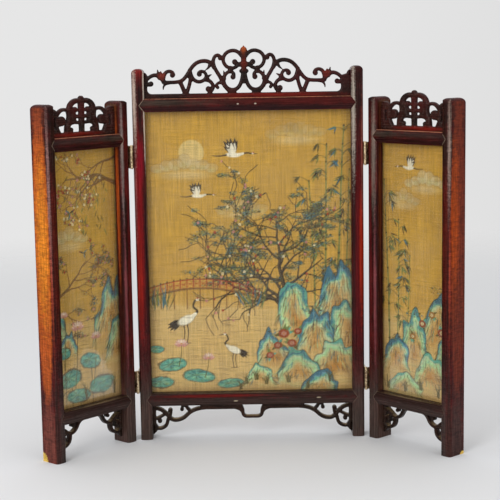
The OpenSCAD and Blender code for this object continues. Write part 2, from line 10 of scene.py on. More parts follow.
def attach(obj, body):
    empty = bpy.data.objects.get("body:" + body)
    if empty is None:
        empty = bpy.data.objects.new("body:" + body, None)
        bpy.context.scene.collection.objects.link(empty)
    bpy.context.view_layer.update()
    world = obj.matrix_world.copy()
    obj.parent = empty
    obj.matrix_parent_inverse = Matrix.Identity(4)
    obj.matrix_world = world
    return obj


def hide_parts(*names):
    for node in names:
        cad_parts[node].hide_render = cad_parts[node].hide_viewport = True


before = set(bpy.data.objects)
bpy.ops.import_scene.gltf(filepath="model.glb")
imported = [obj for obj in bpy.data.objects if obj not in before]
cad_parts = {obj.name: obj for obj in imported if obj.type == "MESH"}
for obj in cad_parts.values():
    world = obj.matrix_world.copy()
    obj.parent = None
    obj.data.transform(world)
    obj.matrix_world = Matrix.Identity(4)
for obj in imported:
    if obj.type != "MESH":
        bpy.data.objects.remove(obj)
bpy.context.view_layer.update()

chance = np.random.default_rng(11)  # every random choice comes from this one seed
between = chance.uniform

# A panel's own frame: u runs across from its first stile, v to the back, w up.
# A wing's first stile is the one with the hinges.
wing = {"width": 105, "railTop": 308.5, "leg": 36}
panels = {
    "centre": {"body": "centre_panel", "origin": (-112.5, 28.578), "turn": 0, "flip": 1,
               "width": 225, "railTop": 341, "leg": 34.5},
    "left": {"body": "left_wing", "origin": (-115.747, 27.132), "turn": 48, "flip": -1, **wing},
    "right": {"body": "right_wing", "origin": (115.747, 27.132), "turn": -48, "flip": 1, **wing},
}


def cosSin(degrees):
    return math.cos(math.radians(degrees)), math.sin(math.radians(degrees))


def toWorld(panel, spots):
    p = panels[panel]
    c, s = cosSin(p["turn"])
    u, v, w = np.asarray(spots, float).T
    u = u * p["flip"]
    return np.stack([p["origin"][0] + c * u - s * v, p["origin"][1] + s * u + c * v, w], 1) / 1000


def toPanel(panel, spots):
    p = panels[panel]
    c, s = cosSin(p["turn"])
    x, y, w = np.asarray(spots, float).T * 1000
    x, y = x - p["origin"][0], y - p["origin"][1]
    return np.stack([(c * x + s * y) * p["flip"], c * y - s * x, w], 1)


def newObject(name, data):
    made = bpy.data.objects.new(name, data)
    bpy.context.scene.collection.objects.link(made)
    return made


# The camera stands a little over a metre away and looks slightly down. Its place is in metres.
camera = {"place": (-0.0085, -1.3324, 0.3901), "pitch": -8.31, "yaw": -0.36, "roll": -0.94,
          "focalPixels": 1394.9, "imagePixels": 500, "sensor": 36}


def addCamera(c):
    pitch, yaw, roll = (math.radians(c[k]) for k in ("pitch", "yaw", "roll"))
    ahead = Vector((-math.sin(yaw) * math.cos(pitch), math.cos(yaw) * math.cos(pitch), math.sin(pitch)))
    level = Vector((math.cos(yaw), math.sin(yaw), 0))
    across = math.cos(roll) * level + math.sin(roll) * level.cross(ahead)
    data = bpy.data.cameras.new("camera")
    data.sensor_fit = "HORIZONTAL"
    data.sensor_width = c["sensor"]
    data.lens = c["focalPixels"] / c["imagePixels"] * c["sensor"]
    data.clip_start = 0.01
    eye = newObject("camera", data)
    turned = Matrix((across, across.cross(ahead), -ahead)).transposed().to_4x4()
    eye.matrix_world = Matrix.Translation(c["place"]) @ turned
    bpy.context.scene.camera = eye


addCamera(camera)
print("camera set")


def tones(hexTone):
    return np.array([int(hexTone[k:k + 2], 16) / 255 for k in (1, 3, 5)])


def linear(tone):
    # an sRGB hex colour, or an array of sRGB values, as linear light
    values = tones(tone) if isinstance(tone, str) else tone
    values = np.where(values < 0.04045, values / 12.92, ((values + 0.055) / 1.055) ** 2.4)
    return (*values, 1) if isinstance(tone, str) else values


def addNode(tree, kind, inputs=(), operation=None, **settings):
    # Inputs go by name or number, or simply in the node's order. A node that is given as an
    # input stands for its first output in use.
    node = tree.nodes.new("ShaderNode" + kind)
    if operation:
        node.operation = operation
    for name, value in settings.items():
        setattr(node, name, value)
    for key, value in inputs.items() if isinstance(inputs, dict) else enumerate(inputs):
        if isinstance(value, bpy.types.Node):
            value = next(end for end in value.outputs if end.enabled)
        if isinstance(value, bpy.types.NodeSocket):
            tree.links.new(value, node.inputs[key])
        else:
            node.inputs[key].default_value = value
    return node


def newMaterial(name, panel, build, *details, **more):
    # build adds the nodes and gives the shader. Its place is the shaded point, in the panel's
    # own millimetres, or in metres where no panel is named.
    material = bpy.data.materials.new(name)
    material.use_nodes = True
    material.node_tree.nodes.clear()
    add = partial(addNode, material.node_tree)
    place = add("TexCoord").outputs["Object"]
    if panel:
        p = panels[panel]
        place = add("Mapping", {
            "Vector": place, "Location": (p["origin"][0] / 1000, p["origin"][1] / 1000, 0),
            "Rotation": (0, 0, math.radians(p["turn"])),
            "Scale": (p["flip"] / 1000, 1 / 1000, 1 / 1000)}, vector_type="TEXTURE")
    add("OutputMaterial", (build(add, place, *details, **more),))
    return material


def drawnNoise(add, place, sizes, detail, roughness=0.6):
    # noise drawn out to these sizes in millimetres across, inwards and up
    spot = add("VectorMath", (place, [1 / size for size in sizes]), "MULTIPLY")
    return add("TexNoise", {"Vector": spot, "Scale": 1, "Detail": detail, "Roughness": roughness})


def tint(add, colour, tone, field, steps, within=(), **settings):
    # lays a tone over a colour as a field says: steps has the field's two values, and then
    # the tone's strength at each
    amount = add("MapRange", (field, *steps), **settings)
    for share in within:
        amount = add("Math", (amount, share), "MULTIPLY")
    under = linear(colour) if isinstance(colour, str) else colour
    return add("Mix", {0: amount, 6: under, 7: linear(tone)}, data_type="RGBA")


def zone(at, reach, tone, strength=0.85, core=0.2, ragged=0.5, speckle=0):
    # a patch of the old finish, or of painted highlight or reflection: its middle and its reach
    # across, inwards and up, its tone, how far it is even, how ragged its rim is, and how much of
    # it breaks up in spots
    return {"at": at, "reach": reach, "tone": tone, "strength": strength, "core": core,
            "ragged": ragged, "speckle": speckle}


def tintZone(add, place, ragged, spots, colour, z):
    away = add("VectorMath", (place, z["at"]), "SUBTRACT")
    scaled = add("VectorMath", (away, z["reach"]), "DIVIDE")
    rim = add("VectorMath", (scaled,), "LENGTH")
    rim = add("Math", (ragged, z["ragged"], rim), "MULTIPLY_ADD")
    if z["speckle"]:
        rim = add("Math", (spots, z["speckle"], rim), "MULTIPLY_ADD")
    return tint(add, colour, z["tone"], rim, (z["core"], 1, z["strength"], 0),
                interpolation_type="SMOOTHSTEP")


def mitreWearAndHighlight(add, place, ragged, colour, middle, slope, point, strength):
    # a pale line along the pointed joint: a painted highlight on the stile's arris, which is rubbed
    # there too
    u, v, w = add("SeparateXYZ", (place,)).outputs
    rise = add("Math", (w, middle), "SUBTRACT")
    rise = add("Math", (rise,), "ABSOLUTE")
    line = add("Math", (rise, slope, point), "MULTIPLY_ADD")
    away = add("Math", (u, line), "SUBTRACT")
    away = add("Math", (away,), "ABSOLUTE")
    rim = add("Math", (ragged, mitre["ragged"], away), "MULTIPLY_ADD")
    inside = add("Math", (rise, mitre["high"] / 2), "LESS_THAN")
    front = add("Math", (v, mitre["frontDepth"]), "LESS_THAN")
    return tint(add, colour, mitre["tone"], rim, (0.2, 0.75, strength, 0), (inside, front))


# Rosewood, stained and lacquered by brush: a deep wine brown that lets the grain through,
# soft gloss on brush marks, redder where the lacquer is thin; worn arrises with painted highlights.
# Figure, pores, brush marks and mottle have their width and their length.
lacquer = {
    "deep": "#240d0c", "warm": "#521110", "bloom": "#6b5f56", "cloudSize": 30,
    "figure": (1, 30), "pores": (0.45, 8), "brush": (1.7, 15.3), "mottle": (1.5, 6),
    "grainDepth": 0.06, "brushDepth": 0.05, "bloomSpot": 1.3,
    "gloss": (0.18, 0.34), "shine": 0.1, "ior": 1.5,
}
# the pale line at each pointed joint is a painted highlight on the stile's arris, rubbed there too
mitre = {"stile": 12, "high": 12.8, "point": 4.8, "tone": "#a8927f", "ragged": 1.2, "frontDepth": 1.5}


def rosewood(add, place, grain, zones=(), joints=(), deep=lacquer["deep"], warm=lacquer["warm"],
             bloom=0.22, bareTop=None, mottled=False):
    def along(part, grain, detail):
        wide, long = lacquer[part]
        return drawnNoise(add, place, {"up": (wide, wide, long), "across": (long, wide, wide),
                                       "inwards": (long, long, wide)}[grain], detail)

    figure = along("figure", grain, 4)
    pores = along("pores", grain, 2)
    brush = along("brush", grain, 2)
    clouds = add("TexNoise", {"Vector": place, "Scale": 1 / lacquer["cloudSize"], "Detail": 4,
                              "Roughness": 0.6})
    colour = tint(add, deep, warm, clouds, (0.4, 0.62))
    # the lacquer has bloomed grey in small spots
    haze = add("TexNoise", {"Vector": place, "Scale": 1 / lacquer["bloomSpot"], "Detail": 5,
                            "Roughness": 0.7})
    colour = tint(add, colour, lacquer["bloom"], haze, (0.5, 0.72, 0, bloom))
    ragged = add("TexNoise", {"Vector": place, "Scale": 0.3, "Detail": 4})
    ragged = add("Math", (ragged, 0.5), "SUBTRACT")
    spots = add("Math", (haze, 0.5), "SUBTRACT")
    for z in zones:
        colour = tintZone(add, place, ragged, spots, colour, z)
    for joint in joints:
        colour = mitreWearAndHighlight(add, place, ragged, colour, *joint)
    if bareTop:
        # the upper faces of the bars are lighter: a painted highlight where light falls from above, and
        # bare wood where the lacquer hardly reached
        normal = add("NewGeometry").outputs["Normal"]
        upward = add("SeparateXYZ", (normal,)).outputs[2]
        colour = tint(add, colour, bareTop, upward, (0.6, 0.95, 0, 0.8))
    # the grain shows as lighter and darker streaks under the lacquer
    streak = add("MapRange", (figure, 0.32, 0.68, 0.55, 1.4))
    poreDark = add("MapRange", (pores, 0.3, 0.46, 0.6, 1))
    tone = add("Math", (streak, poreDark), "MULTIPLY")
    if mottled:
        # thin finish lets a mottled figure through, which lies across the grain
        patch = add("MapRange", (along("mottle", "inwards", 6), 0.36, 0.6, 0.62, 1.14))
        tone = add("Math", (tone, patch), "MULTIPLY")
    colour = add("VectorMath", {0: colour, "Scale": tone}, "SCALE")
    gloss = add("MapRange", (figure, 0.3, 0.75, *lacquer["gloss"]))
    ridge = add("Bump", {"Height": pores, "Strength": 0.5, "Distance": lacquer["grainDepth"] / 1000})
    ridge = add("Bump", {"Height": brush, "Strength": 0.6, "Normal": ridge,
                         "Distance": lacquer["brushDepth"] / 1000})
    return add("BsdfPrincipled", {
        "Base Color": colour, "Roughness": gloss, "Normal": ridge,
        "Specular IOR Level": lacquer["shine"], "IOR": lacquer["ior"]})


def lacquered(node, panel, *look, **more):
    return newMaterial("rosewood." + node, panel, rosewood, *look, **more)


def meshOf(node):
    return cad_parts[node].data


def dress(mesh, material):
    mesh.materials.clear()
    mesh.materials.append(material)


def newPiece(node, suffix, panel, mesh, material):
    piece = newObject(node + suffix, mesh)
    dress(mesh, material)
    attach(piece, panels[panel]["body"])
    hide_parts(node)
    return piece


def dust(u, v=0, reach=(60, 60, 92), tone="#4a3e38"):
    # the dust of years on a foot, and a painted reflection of the pale floor in the lacquer low down
    return zone((u, v, 0), reach, tone, 0.8, core=0.25, ragged=0.4)


# Frames, with the patches where the old finish is thin, worn, raw or dusty, and painted
# highlights on the arrises and painted reflections of the pale floor low down.
stileZones = {
    "centre_left_stile": [
        zone((4.8, 0, 220), (6.4, 9, 150), "#760d12", 0.95),
        zone((3.6, 0, 165), (4.6, 6, 80), "#88190b"),
        zone((10.8, 3, 190), (3, 9, 170), "#240b0d"),
        zone((7, 0, 280), (5, 5, 30), "#800d1e", 0.9),
        zone((6, 2, 372), (12, 20, 16), "#7a1e1a", 0.8),
        zone((7.5, 1, 330), (3.6, 6, 42), "#20110f", 0.9),
        # painted highlights: pale and pinkish speckles on the left of the front
        zone((2.2, 0.5, 338), (3, 4, 66), "#b8a294", speckle=2),
        zone((1.4, 0.8, 250), (2, 4, 70), "#8a5450", 0.6, speckle=2),
        dust(6),
        # painted highlights on the inner arris, which is rubbed there too
        zone((11.5, 2.3, 332), (1.3, 3, 74), "#d6c6b6", 0.9, core=0.5),
        zone((11.6, 2.3, 215), (1, 2.4, 60), "#8c6c58", 0.5),
    ],
    "centre_right_stile": [
        zone((220, 2, 190), (8, 14, 150), "#5c0c10", 0.9),
        zone((222.6, 0, 185), (3.4, 6, 90), "#982409", 0.9),
        zone((215.2, 0, 230), (3, 6, 160), "#280f10"),
        zone((219, 2, 372), (12, 20, 12), "#3a1412", 0.8),
        zone((219.6, 1, 330), (3, 6, 50), "#2c1512"),
        # a painted highlight: pale speckles on the left of the front near its top
        zone((215.2, 0.5, 322), (3, 4, 84), "#b2a698", speckle=2),
        # a painted reflection on the outer arris, pinkish over the lacquer's red
        zone((224, 0.8, 280), (2, 5, 90), "#9a564a", 0.75, speckle=1),
        dust(219),
    ],
}
# A strip of painted highlight along the rounded front arris, which is rubbed there too, has its
# middle and reach across, and then up. The inner strip, a painted highlight too, has its middle
# and reach across.
wingSides = {
    "left": {"base": "#b05018", "bright": "#e08420", "brightAt": (105.3, 10, 212), "wide": 13,
             "top": "#863a1e", "low": "#733a30", "strip": (103.4, 2.2, 262, 120),
             "rub": "#a87e78", "chip": (5, 7, 9), "reveal": "#a84a1c", "revealLow": "#5c2016",
             "innerStrip": (9.6, 2.4), "innerRub": "#a39690"},
    "right": {"base": "#6e2a18", "bright": "#a8440e", "brightAt": (105.3, 6, 225), "wide": 10,
              "top": "#702c1a", "low": "#462d29", "strip": (102.6, 2.8, 294, 84),
              "rub": "#a58e82", "chip": (2, 6, 3.6), "reveal": "#5c2812", "revealLow": "#6a2c12",
              "innerStrip": (8.2, 4), "innerRub": "#8d8378"},
}
for side, s in wingSides.items():
    u, reach, w, high = s["strip"]
    stileZones[side + "_outer_stile"] = [
        zone((99, 0.5, 200), (5, 5, 130), "#5c1a0e", 0.7),
        zone((97, 0.5, 300), (5, 5, 60), "#2c1a15", 0.8),
        zone((105.3, 11, 200), (1.9, 12.5, 165), s["base"], 1, core=0.75, ragged=0.3),
        zone(s["brightAt"], (1.9, s["wide"], 105), s["bright"], 0.95, ragged=0.9),
        zone((105.3, 11, 330), (1.9, 13, 36), s["top"], ragged=0.8),
        zone((105.3, 10, 0), (1.8, 14, 82), s["low"], 0.95, core=0.45),
        # dust and a painted reflection of the pale floor on the foot
        dust(97, -2, (7.5, 16, 130), "#3e3532"),
        zone((103.4, 0.3, 10), (2.6, 3, 105), "#3e2824", core=0.5),
        # painted highlights on the rounded outer arris: a pale strip, and a reddish one lower down over
        # the lacquer's red
        zone((u, 0.4, w), (reach, 2.4, high), s["rub"], 0.7, core=0.1, ragged=0.7, speckle=1.5),
        zone((103.8, 0, 165), (1.9, 2.2, 92), "#a0402a", 0.75, ragged=0.7, speckle=1),
        # bare wood where the foot has been chipped
        zone((105, 20, 0), s["chip"], "#e6bf5a", 1, core=0.8, ragged=0.9),
    ]
    u, reach = s["innerStrip"]
    stileZones[side + "_inner_stile"] = [
        zone((12.2, 8, 200), (1.2, 12, 260), "#34120e", core=0.7),
        zone((12.2, 5.6, 250), (1.2, 3, 120), s["reveal"], 0.9, core=0.3),
        zone((12.2, 8, 20), (1.2, 12, 50), s["revealLow"], core=0.5),
        zone((12.2, 12, 336), (1.2, 12, 34), "#5a3a26", 0.8),
        zone((3, 0, 190), (4.4, 8, 150), "#5a1619", 0.8),
        # painted highlights on the front: a pale strip near the top and a pinkish one lower down
        zone((u, 0.4, 285), (reach, 2.4, 85), s["innerRub"], 0.62, core=0.1, ragged=0.4,
             speckle=1.5),
        zone((9.6, 0, 150), (2.4, 2.2, 110), "#8c4a4e", 0.7, ragged=0.4, speckle=1),
        dust(6),
    ]


def mitres(p, atFar):
    # the two pointed joints of a stile: height, slope, tip of the point, strength of the line
    out = 1 if atFar else -1
    arris = p["width"] - mitre["stile"] if atFar else mitre["stile"]
    half = mitre["high"] / 2
    return [(w, -out * mitre["point"] / half, arris + out * mitre["point"], strength)
            for w, strength in ((p["railTop"] - half, 0.75), (p["leg"] + half, 0.25))]


for node, zones in stileZones.items():
    panel = node.split("_")[0]
    joints = mitres(panels[panel], node.endswith(("right_stile", "outer_stile")))
    dress(meshOf(node), lacquered(node, panel, "up", zones, joints,
                                  mottled=node.endswith("outer_stile")))
for panel, p in panels.items():
    centre = panel == "centre"
    middle = p["width"] / 2
    top, low = p["railTop"], p["leg"]
    topZones = [
        zone((0, 0, top - 4), (middle * 1.3, 9, 5), "#3a3028", ragged=0.9),
        zone((middle * 1.3, 0, top - 4), (middle, 9, 4.4), "#48120f" if centre else "#2e2420",
             0.75),
        zone((middle, 0, top - 10), (300, 9, 3.6), "#260e0f"),
        # painted highlights along the rail's top arris and its lower edge
        zone((middle, 1.6, top), (200, 1.6, 0.8), "#b5795a", core=0.3, ragged=0.9),
        zone((middle, 0, top - 12.8), (200, 1.3, 0.8), "#8e7762", 0.7, core=0.3, ragged=0.8),
        zone((middle, 8, top + 0.2), (200, 9, 1.2), "#5a1f18", 0.7),
    ]
    lowZones = [
        # greyer low down: a painted reflection of the pale floor in the lacquer
        zone((middle, 4, low), (300, 10, 11), "#3a2d29", 0.9, core=0.6),
        zone((middle, 3, low + 12.4), (300, 9, 4), "#2c1a16", 0.9, core=0.6),
        # a painted highlight along the rail's top arris
        zone((middle * 0.9, 1.2, low + 12.4), (middle * 0.9, 1.6, 0.9), "#8a7656",
             0.2 if centre else 0.4, core=0.3, ragged=1),
        zone((middle, 0, low + 9.6), (200, 4, 2.8), "#30201c", core=0.6),
    ]
    if centre:
        topZones += [zone((u, 0, top - 6), (1.3, 3, 0.9), "#c4b4a2", core=0.6) for u in (103, 120)]
        lowZones += [zone((72, 0, low + 9.8), (78, 4, 2.4), "#64110e", core=0.3, ragged=0.6)]
        lowZones += [zone((u, 0, w), (2.6, 3, 0.8), "#b5a58c", core=0.6)
                     for u, w in ((96, 38.8), (179, 41))]
    for node, zones in ((panel + "_top_rail", topZones), (panel + "_bottom_rail", lowZones)):
        dress(meshOf(node), lacquered(node, panel, "across", zones))
print("frames dressed")


# Carved crests and aprons: the sawn outline is rounded over towards the front, as a
# carver leaves it, and eased a little at the back.
carving = {"voxel": 0.5, "frontRound": 1.9, "backRound": 0.5, "sample": 0.3}


def sawnEdges(panel, solid):
    # points every fraction of a millimetre along the edges between the flat faces and the walls
    c, s = cosSin(panels[panel]["turn"])
    back = Vector((-s, c, 0))
    found = []
    for edge in solid.edges:
        flat = [abs(face.normal.dot(back)) > 0.9 for face in edge.link_faces]
        if sum(flat) == 1 and len(flat) == 2:
            a, b = toPanel(panel, [v.co[:] for v in edge.verts])[:, ::2]
            steps = max(2, int(np.linalg.norm(b - a) / carving["sample"]) + 1)
            found += [a * (1 - t) + b * t for t in np.linspace(0, 1, steps)]
    tree = kdtree.KDTree(len(found))
    for k, spot in enumerate(found):
        tree.insert((*spot, 0), k)
    tree.balance()
    return tree


def carve(node, panel, *look, **more):
    solid = bmesh.new()
    solid.from_mesh(meshOf(node))
    bmesh.ops.remove_doubles(solid, verts=solid.verts, dist=1e-6)
    edges = sawnEdges(panel, solid)
    mesh = bpy.data.meshes.new(node)
    solid.to_mesh(mesh)
    solid.free()
    rough = newObject("rough", mesh)
    grid = rough.modifiers.new("voxels", "REMESH")
    grid.mode = "VOXEL"
    grid.voxel_size = carving["voxel"] / 1000
    grid.use_smooth_shade = True
    shaped = bpy.data.meshes.new_from_object(rough.evaluated_get(bpy.context.evaluated_depsgraph_get()))
    bpy.data.objects.remove(rough)
    bpy.data.meshes.remove(mesh)
    spots = np.empty(len(shaped.vertices) * 3)
    shaped.vertices.foreach_get("co", spots)
    spots = toPanel(panel, spots.reshape(-1, 3))
    front, back = spots[:, 1].min(), spots[:, 1].max()
    deep = np.array([edges.find((u, w, 0))[2] for u, v, w in spots])
    sunk = []
    for radius in (carving["frontRound"], carving["backRound"]):
        lack = np.clip(radius - deep, 0, radius)
        sunk.append(radius - np.sqrt(radius ** 2 - lack ** 2))
    share = np.clip((spots[:, 1] - front) / (back - front), 0, 1)
    spots[:, 1] = (front + sunk[0]) * (1 - share) + (back - sunk[1]) * share
    shaped.vertices.foreach_set("co", toWorld(panel, spots).ravel())
    shaped.update()
    newPiece(node, "_carved", panel, shaped, lacquered(node, panel, "across", *look, **more))


for panel, p in panels.items():
    high = p["railTop"]
    middle = p["width"] / 2
    zones = [zone((middle * 1.2, 8, high + 2), (middle * 0.9, 8, 3.6), "#761c12", 0.9),
             zone((middle * 1.1, 8, high + 26), (middle * 0.35, 6, 12), "#481614", 0.7)]
    if panel == "centre":
        # its pattern lies 3 mm left of the middle
        middle -= 3
        zones[1:] = [
            zone((middle, 8, high + 48), (5, 8, 8), "#a04a22", 0.9),
            zone((middle, 7, high + 33), (5, 7, 10), "#6a2418", 0.7),
            zone((middle - 80, 7, high + 22), (6, 6, 6), "#7a3024", 0.8),
            zone((middle + 80, 7, high + 22), (6, 6, 6), "#8a2e1c", 0.8),
            zone((middle + 60, 7, high + 18), (60, 6, 16), "#41171a", 0.6),
        ]
    carve(panel + "_crest", panel, zones, deep="#1e1310", warm="#381814",
          bloom=0.2 if panel == "centre" else 0.45)
    # the aprons' upper faces take a painted highlight, over bare wood
    carve(panel + "_apron", panel, deep="#261a14", warm="#352018", bloom=0.3, bareTop="#947a55")
    print("carved", panel)


# The pictures. They are painted point by point, as tones, on a fine grid over the silk:
# x runs to the right as seen from the front, y up, from the silk's lower left corner.
paints = {
    "soot": "#33281c", "ash": "#6b5836", "azurite": "#3a6c84", "sky": "#5f95a8",
    "malachite": "#5aa694", "mint": "#bcd2a6", "shell": "#e8dcaa", "white": "#efe8cc",
    "ochre": "#b87e34", "umber": "#79532b", "olive": "#5a5228", "leaf": "#6d7a40",
    "cinnabar": "#a33f22", "rose": "#c4867a", "mist": "#cfb274", "glow": "#a8dca0",
}
# The silk's ground is paler low down, where it is a painted reflection of the pale floor in the glass.
silkLook = {
    "step": 0.7, "front": 11.05, "back": 11.6,
    "ground": ((0, "#d6b470"), (0.3, "#d0ab62"), (0.36, "#c59b44"), (0.7, "#c49a3e"),
               (1, "#c3983a")),
    "streaks": ((1.2, 1, 34), (24, 1, 1.2), (7, 1, 160)), "roughness": 0.72, "shine": 0.12,
}
canvas = {}  # the picture in hand: its size, its grid and its tones
whole = (slice(None), slice(None))
moss = ("olive", "leaf", "soot", "azurite")


def cloudy(x, y, cell):
    # smooth uneven values from 0 to 1, with patches of about the given size
    total = 0
    for fine in (1, 2, 4):
        grid = chance.random((64, 64))
        gx, gy = x / cell * fine + 7.3, y / cell * fine + 3.1
        i, j = np.floor(gx).astype(int), np.floor(gy).astype(int)
        fx, fy = gx - i, gy - j
        fx, fy = fx * fx * (3 - 2 * fx), fy * fy * (3 - 2 * fy)
        low, high = (grid[k % 64, i % 64] * (1 - fx) + grid[k % 64, (i + 1) % 64] * fx
                     for k in (j, j + 1))
        total = total + (low * (1 - fy) + high * fy) / fine
    return total / 1.75


def paintTone(paint):
    return tones(paints.get(paint, paint)) if isinstance(paint, str) else paint


def ramp(values, stops):
    # tones for an array of values, from (level, paint) stops
    levels = [level for level, paint in stops]
    steps = np.array([paintTone(paint) for level, paint in stops])
    return np.stack([np.interp(values, levels, steps[:, k]) for k in range(3)], -1)


def newCanvas(wide, high):
    x = np.linspace(0, wide, round(wide / silkLook["step"]) + 1)
    y = np.linspace(0, high, round(high / silkLook["step"]) + 1)
    rows = ramp(y / high, silkLook["ground"])
    canvas.update(x=x, y=y, wide=wide, high=high, tones=np.repeat(rows[:, None, :], len(x), 1))


def near(low, high):
    # the part of the canvas between two corners, and where its points are
    i, j = (np.searchsorted(canvas[axis], (low[k], high[k])) for k, axis in enumerate("xy"))
    part = (slice(*j), slice(*i))
    return part, *np.meshgrid(canvas["x"][part[1]], canvas["y"][part[0]])


def around(at, size):
    return near((at[0] - size, at[1] - size), (at[0] + size, at[1] + size))


def lay(part, amount, paint):
    under = canvas["tones"][part]
    cover = np.clip(amount, 0, 1)[..., None]
    canvas["tones"][part] = under + cover * (paintTone(paint) - under)


def ahead(at, degrees, length):
    # the spot that lies so far from another, in a direction
    c, s = cosSin(degrees)
    return at[0] + length * c, at[1] + length * s


def turned(x, y, at, degrees):
    # places seen from a spot, along a direction and across it
    c, s = cosSin(degrees)
    dx, dy = x - at[0], y - at[1]
    return c * dx + s * dy, c * dy - s * dx


def fromLine(x, y, a, b):
    # how far along a line each point lies, as a share, and how far away from it
    dx, dy = b[0] - a[0], b[1] - a[1]
    along = ((x - a[0]) * dx + (y - a[1]) * dy) / (dx * dx + dy * dy + 1e-9)
    along = np.clip(along, 0, 1)
    return along, np.hypot(x - a[0] - along * dx, y - a[1] - along * dy)


def smoothPath(spots, gap=0.7):
    # a curve through the given points, which may carry a width as their third value
    spots = np.asarray(spots, float)
    ends = np.vstack([2 * spots[0] - spots[1], spots, 2 * spots[-1] - spots[-2]])
    path = []
    for k in range(len(spots) - 1):
        a, b, c, d = ends[k:k + 4]
        steps = max(2, int(np.hypot(*(c - b)[:2]) / gap) + 1)
        t = np.linspace(0, 1, steps, endpoint=k == len(spots) - 2)[:, None]
        path.append(0.5 * (2 * b + (c - a) * t + (2 * a - 5 * b + 4 * c - d) * t ** 2
                           + (3 * b - a - 3 * c + d) * t ** 3))
    return np.vstack(path)


def brushLine(spots, paint, strength=1, soft=0.5):
    # a stroke through (x, y, width) points
    path = smoothPath(spots)
    pad = path[:, 2].max() / 2 + soft + 0.6
    path[:, 2] = np.maximum(path[:, 2], 0.05)
    part, x, y = near(path.min(0) - pad, path.max(0) + pad)
    if not x.size:
        return
    amount = np.zeros(x.shape)
    for a, b in zip(path[:-1], path[1:]):
        i = np.searchsorted(x[0], (min(a[0], b[0]) - pad, max(a[0], b[0]) + pad))
        j = np.searchsorted(y[:, 0], (min(a[1], b[1]) - pad, max(a[1], b[1]) + pad))
        bit = (slice(*j), slice(*i))
        along, away = fromLine(x[bit], y[bit], a, b)
        half = (a[2] + (b[2] - a[2]) * along) / 2
        # a hair line thinner than the grid is laid fainter instead of narrower
        thin = np.minimum(1, half * 2 / 0.45)
        amount[bit] = np.maximum(amount[bit], np.clip((half - away) / soft + 0.5, 0, 1) * thin)
    lay(part, amount * strength, paint)


def arc(a, b, shift, widths, paint, strength):
    # a stroke from one spot to another, its middle shifted aside
    bow = (np.array(a, float) + b) / 2 + shift
    spots = [(*spot, width) for spot, width in zip((a, bow, b), widths)]
    brushLine(spots, paint, strength)


def blot(at, reach, paint, strength=1, turn=0, soft=0.3, ragged=0):
    # an oval of paint; soft is the share of it that fades, ragged how uneven its rim is
    part, x, y = around(at, max(reach) * (1 + ragged) + 0.5)
    if not x.size:
        return
    along, across = turned(x, y, at, turn)
    far = np.hypot(along / reach[0], across / reach[1])
    if ragged:
        far = far * (1 + ragged * (cloudy(x, y, max(reach) / 3) - 0.5) * 2)
    lay(part, np.clip((1 - far) / soft, 0, 1) * strength, paint)


def blade(at, turn, length, width, paint, strength=1, bend=0):
    # a pointed leaf that starts at a spot and runs off at an angle
    part, x, y = around(at, length + width)
    along, across = turned(x, y, at, turn)
    along = np.clip(along / length, -0.2, 1.2)
    across = across - bend * length * along ** 2
    half = width / 2 * np.sin(np.pi * np.clip(along, 0, 1) ** 0.75)
    inside = (along > 0) & (along < 1)
    cover = np.clip((half - np.abs(across)) / 0.45 + 0.4, 0, 1) * inside
    lay(part, cover * strength, paint)


def outlineFill(x, y, outline):
    # where a closed outline covers, and how far each point lies from it
    inside = np.zeros(x.shape, bool)
    away = np.full(x.shape, 1e9)
    for a, b in zip(outline, np.roll(outline, -1, 0)):
        dx, dy = b[0] - a[0], b[1] - a[1]
        crosses = (a[1] > y) != (b[1] > y)
        inside ^= crosses & (x < a[0] + dx * (y - a[1]) / (dy if abs(dy) > 1e-9 else 1e-9))
        away = np.minimum(away, fromLine(x, y, a, b)[1])
    return inside, away


# The mineral bands of a rock lobe, from its rim inwards.
rockBands = {
    "blue": ((0.12, "azurite"), (0.3, "azurite"), (0.42, "sky"), (0.52, "malachite"),
             (0.68, "mint"), (1, "mist"), (1.7, "ochre")),
    "green": ((0.1, "malachite"), (0.22, "azurite"), (0.4, "malachite"), (0.6, "mint"),
              (0.8, "glow"), (1.15, "mist"), (1.8, "ochre")),
    "pale": ((0.08, "malachite"), (0.25, "mint"), (0.5, "glow"), (0.9, "mist"), (1.7, "ochre")),
}


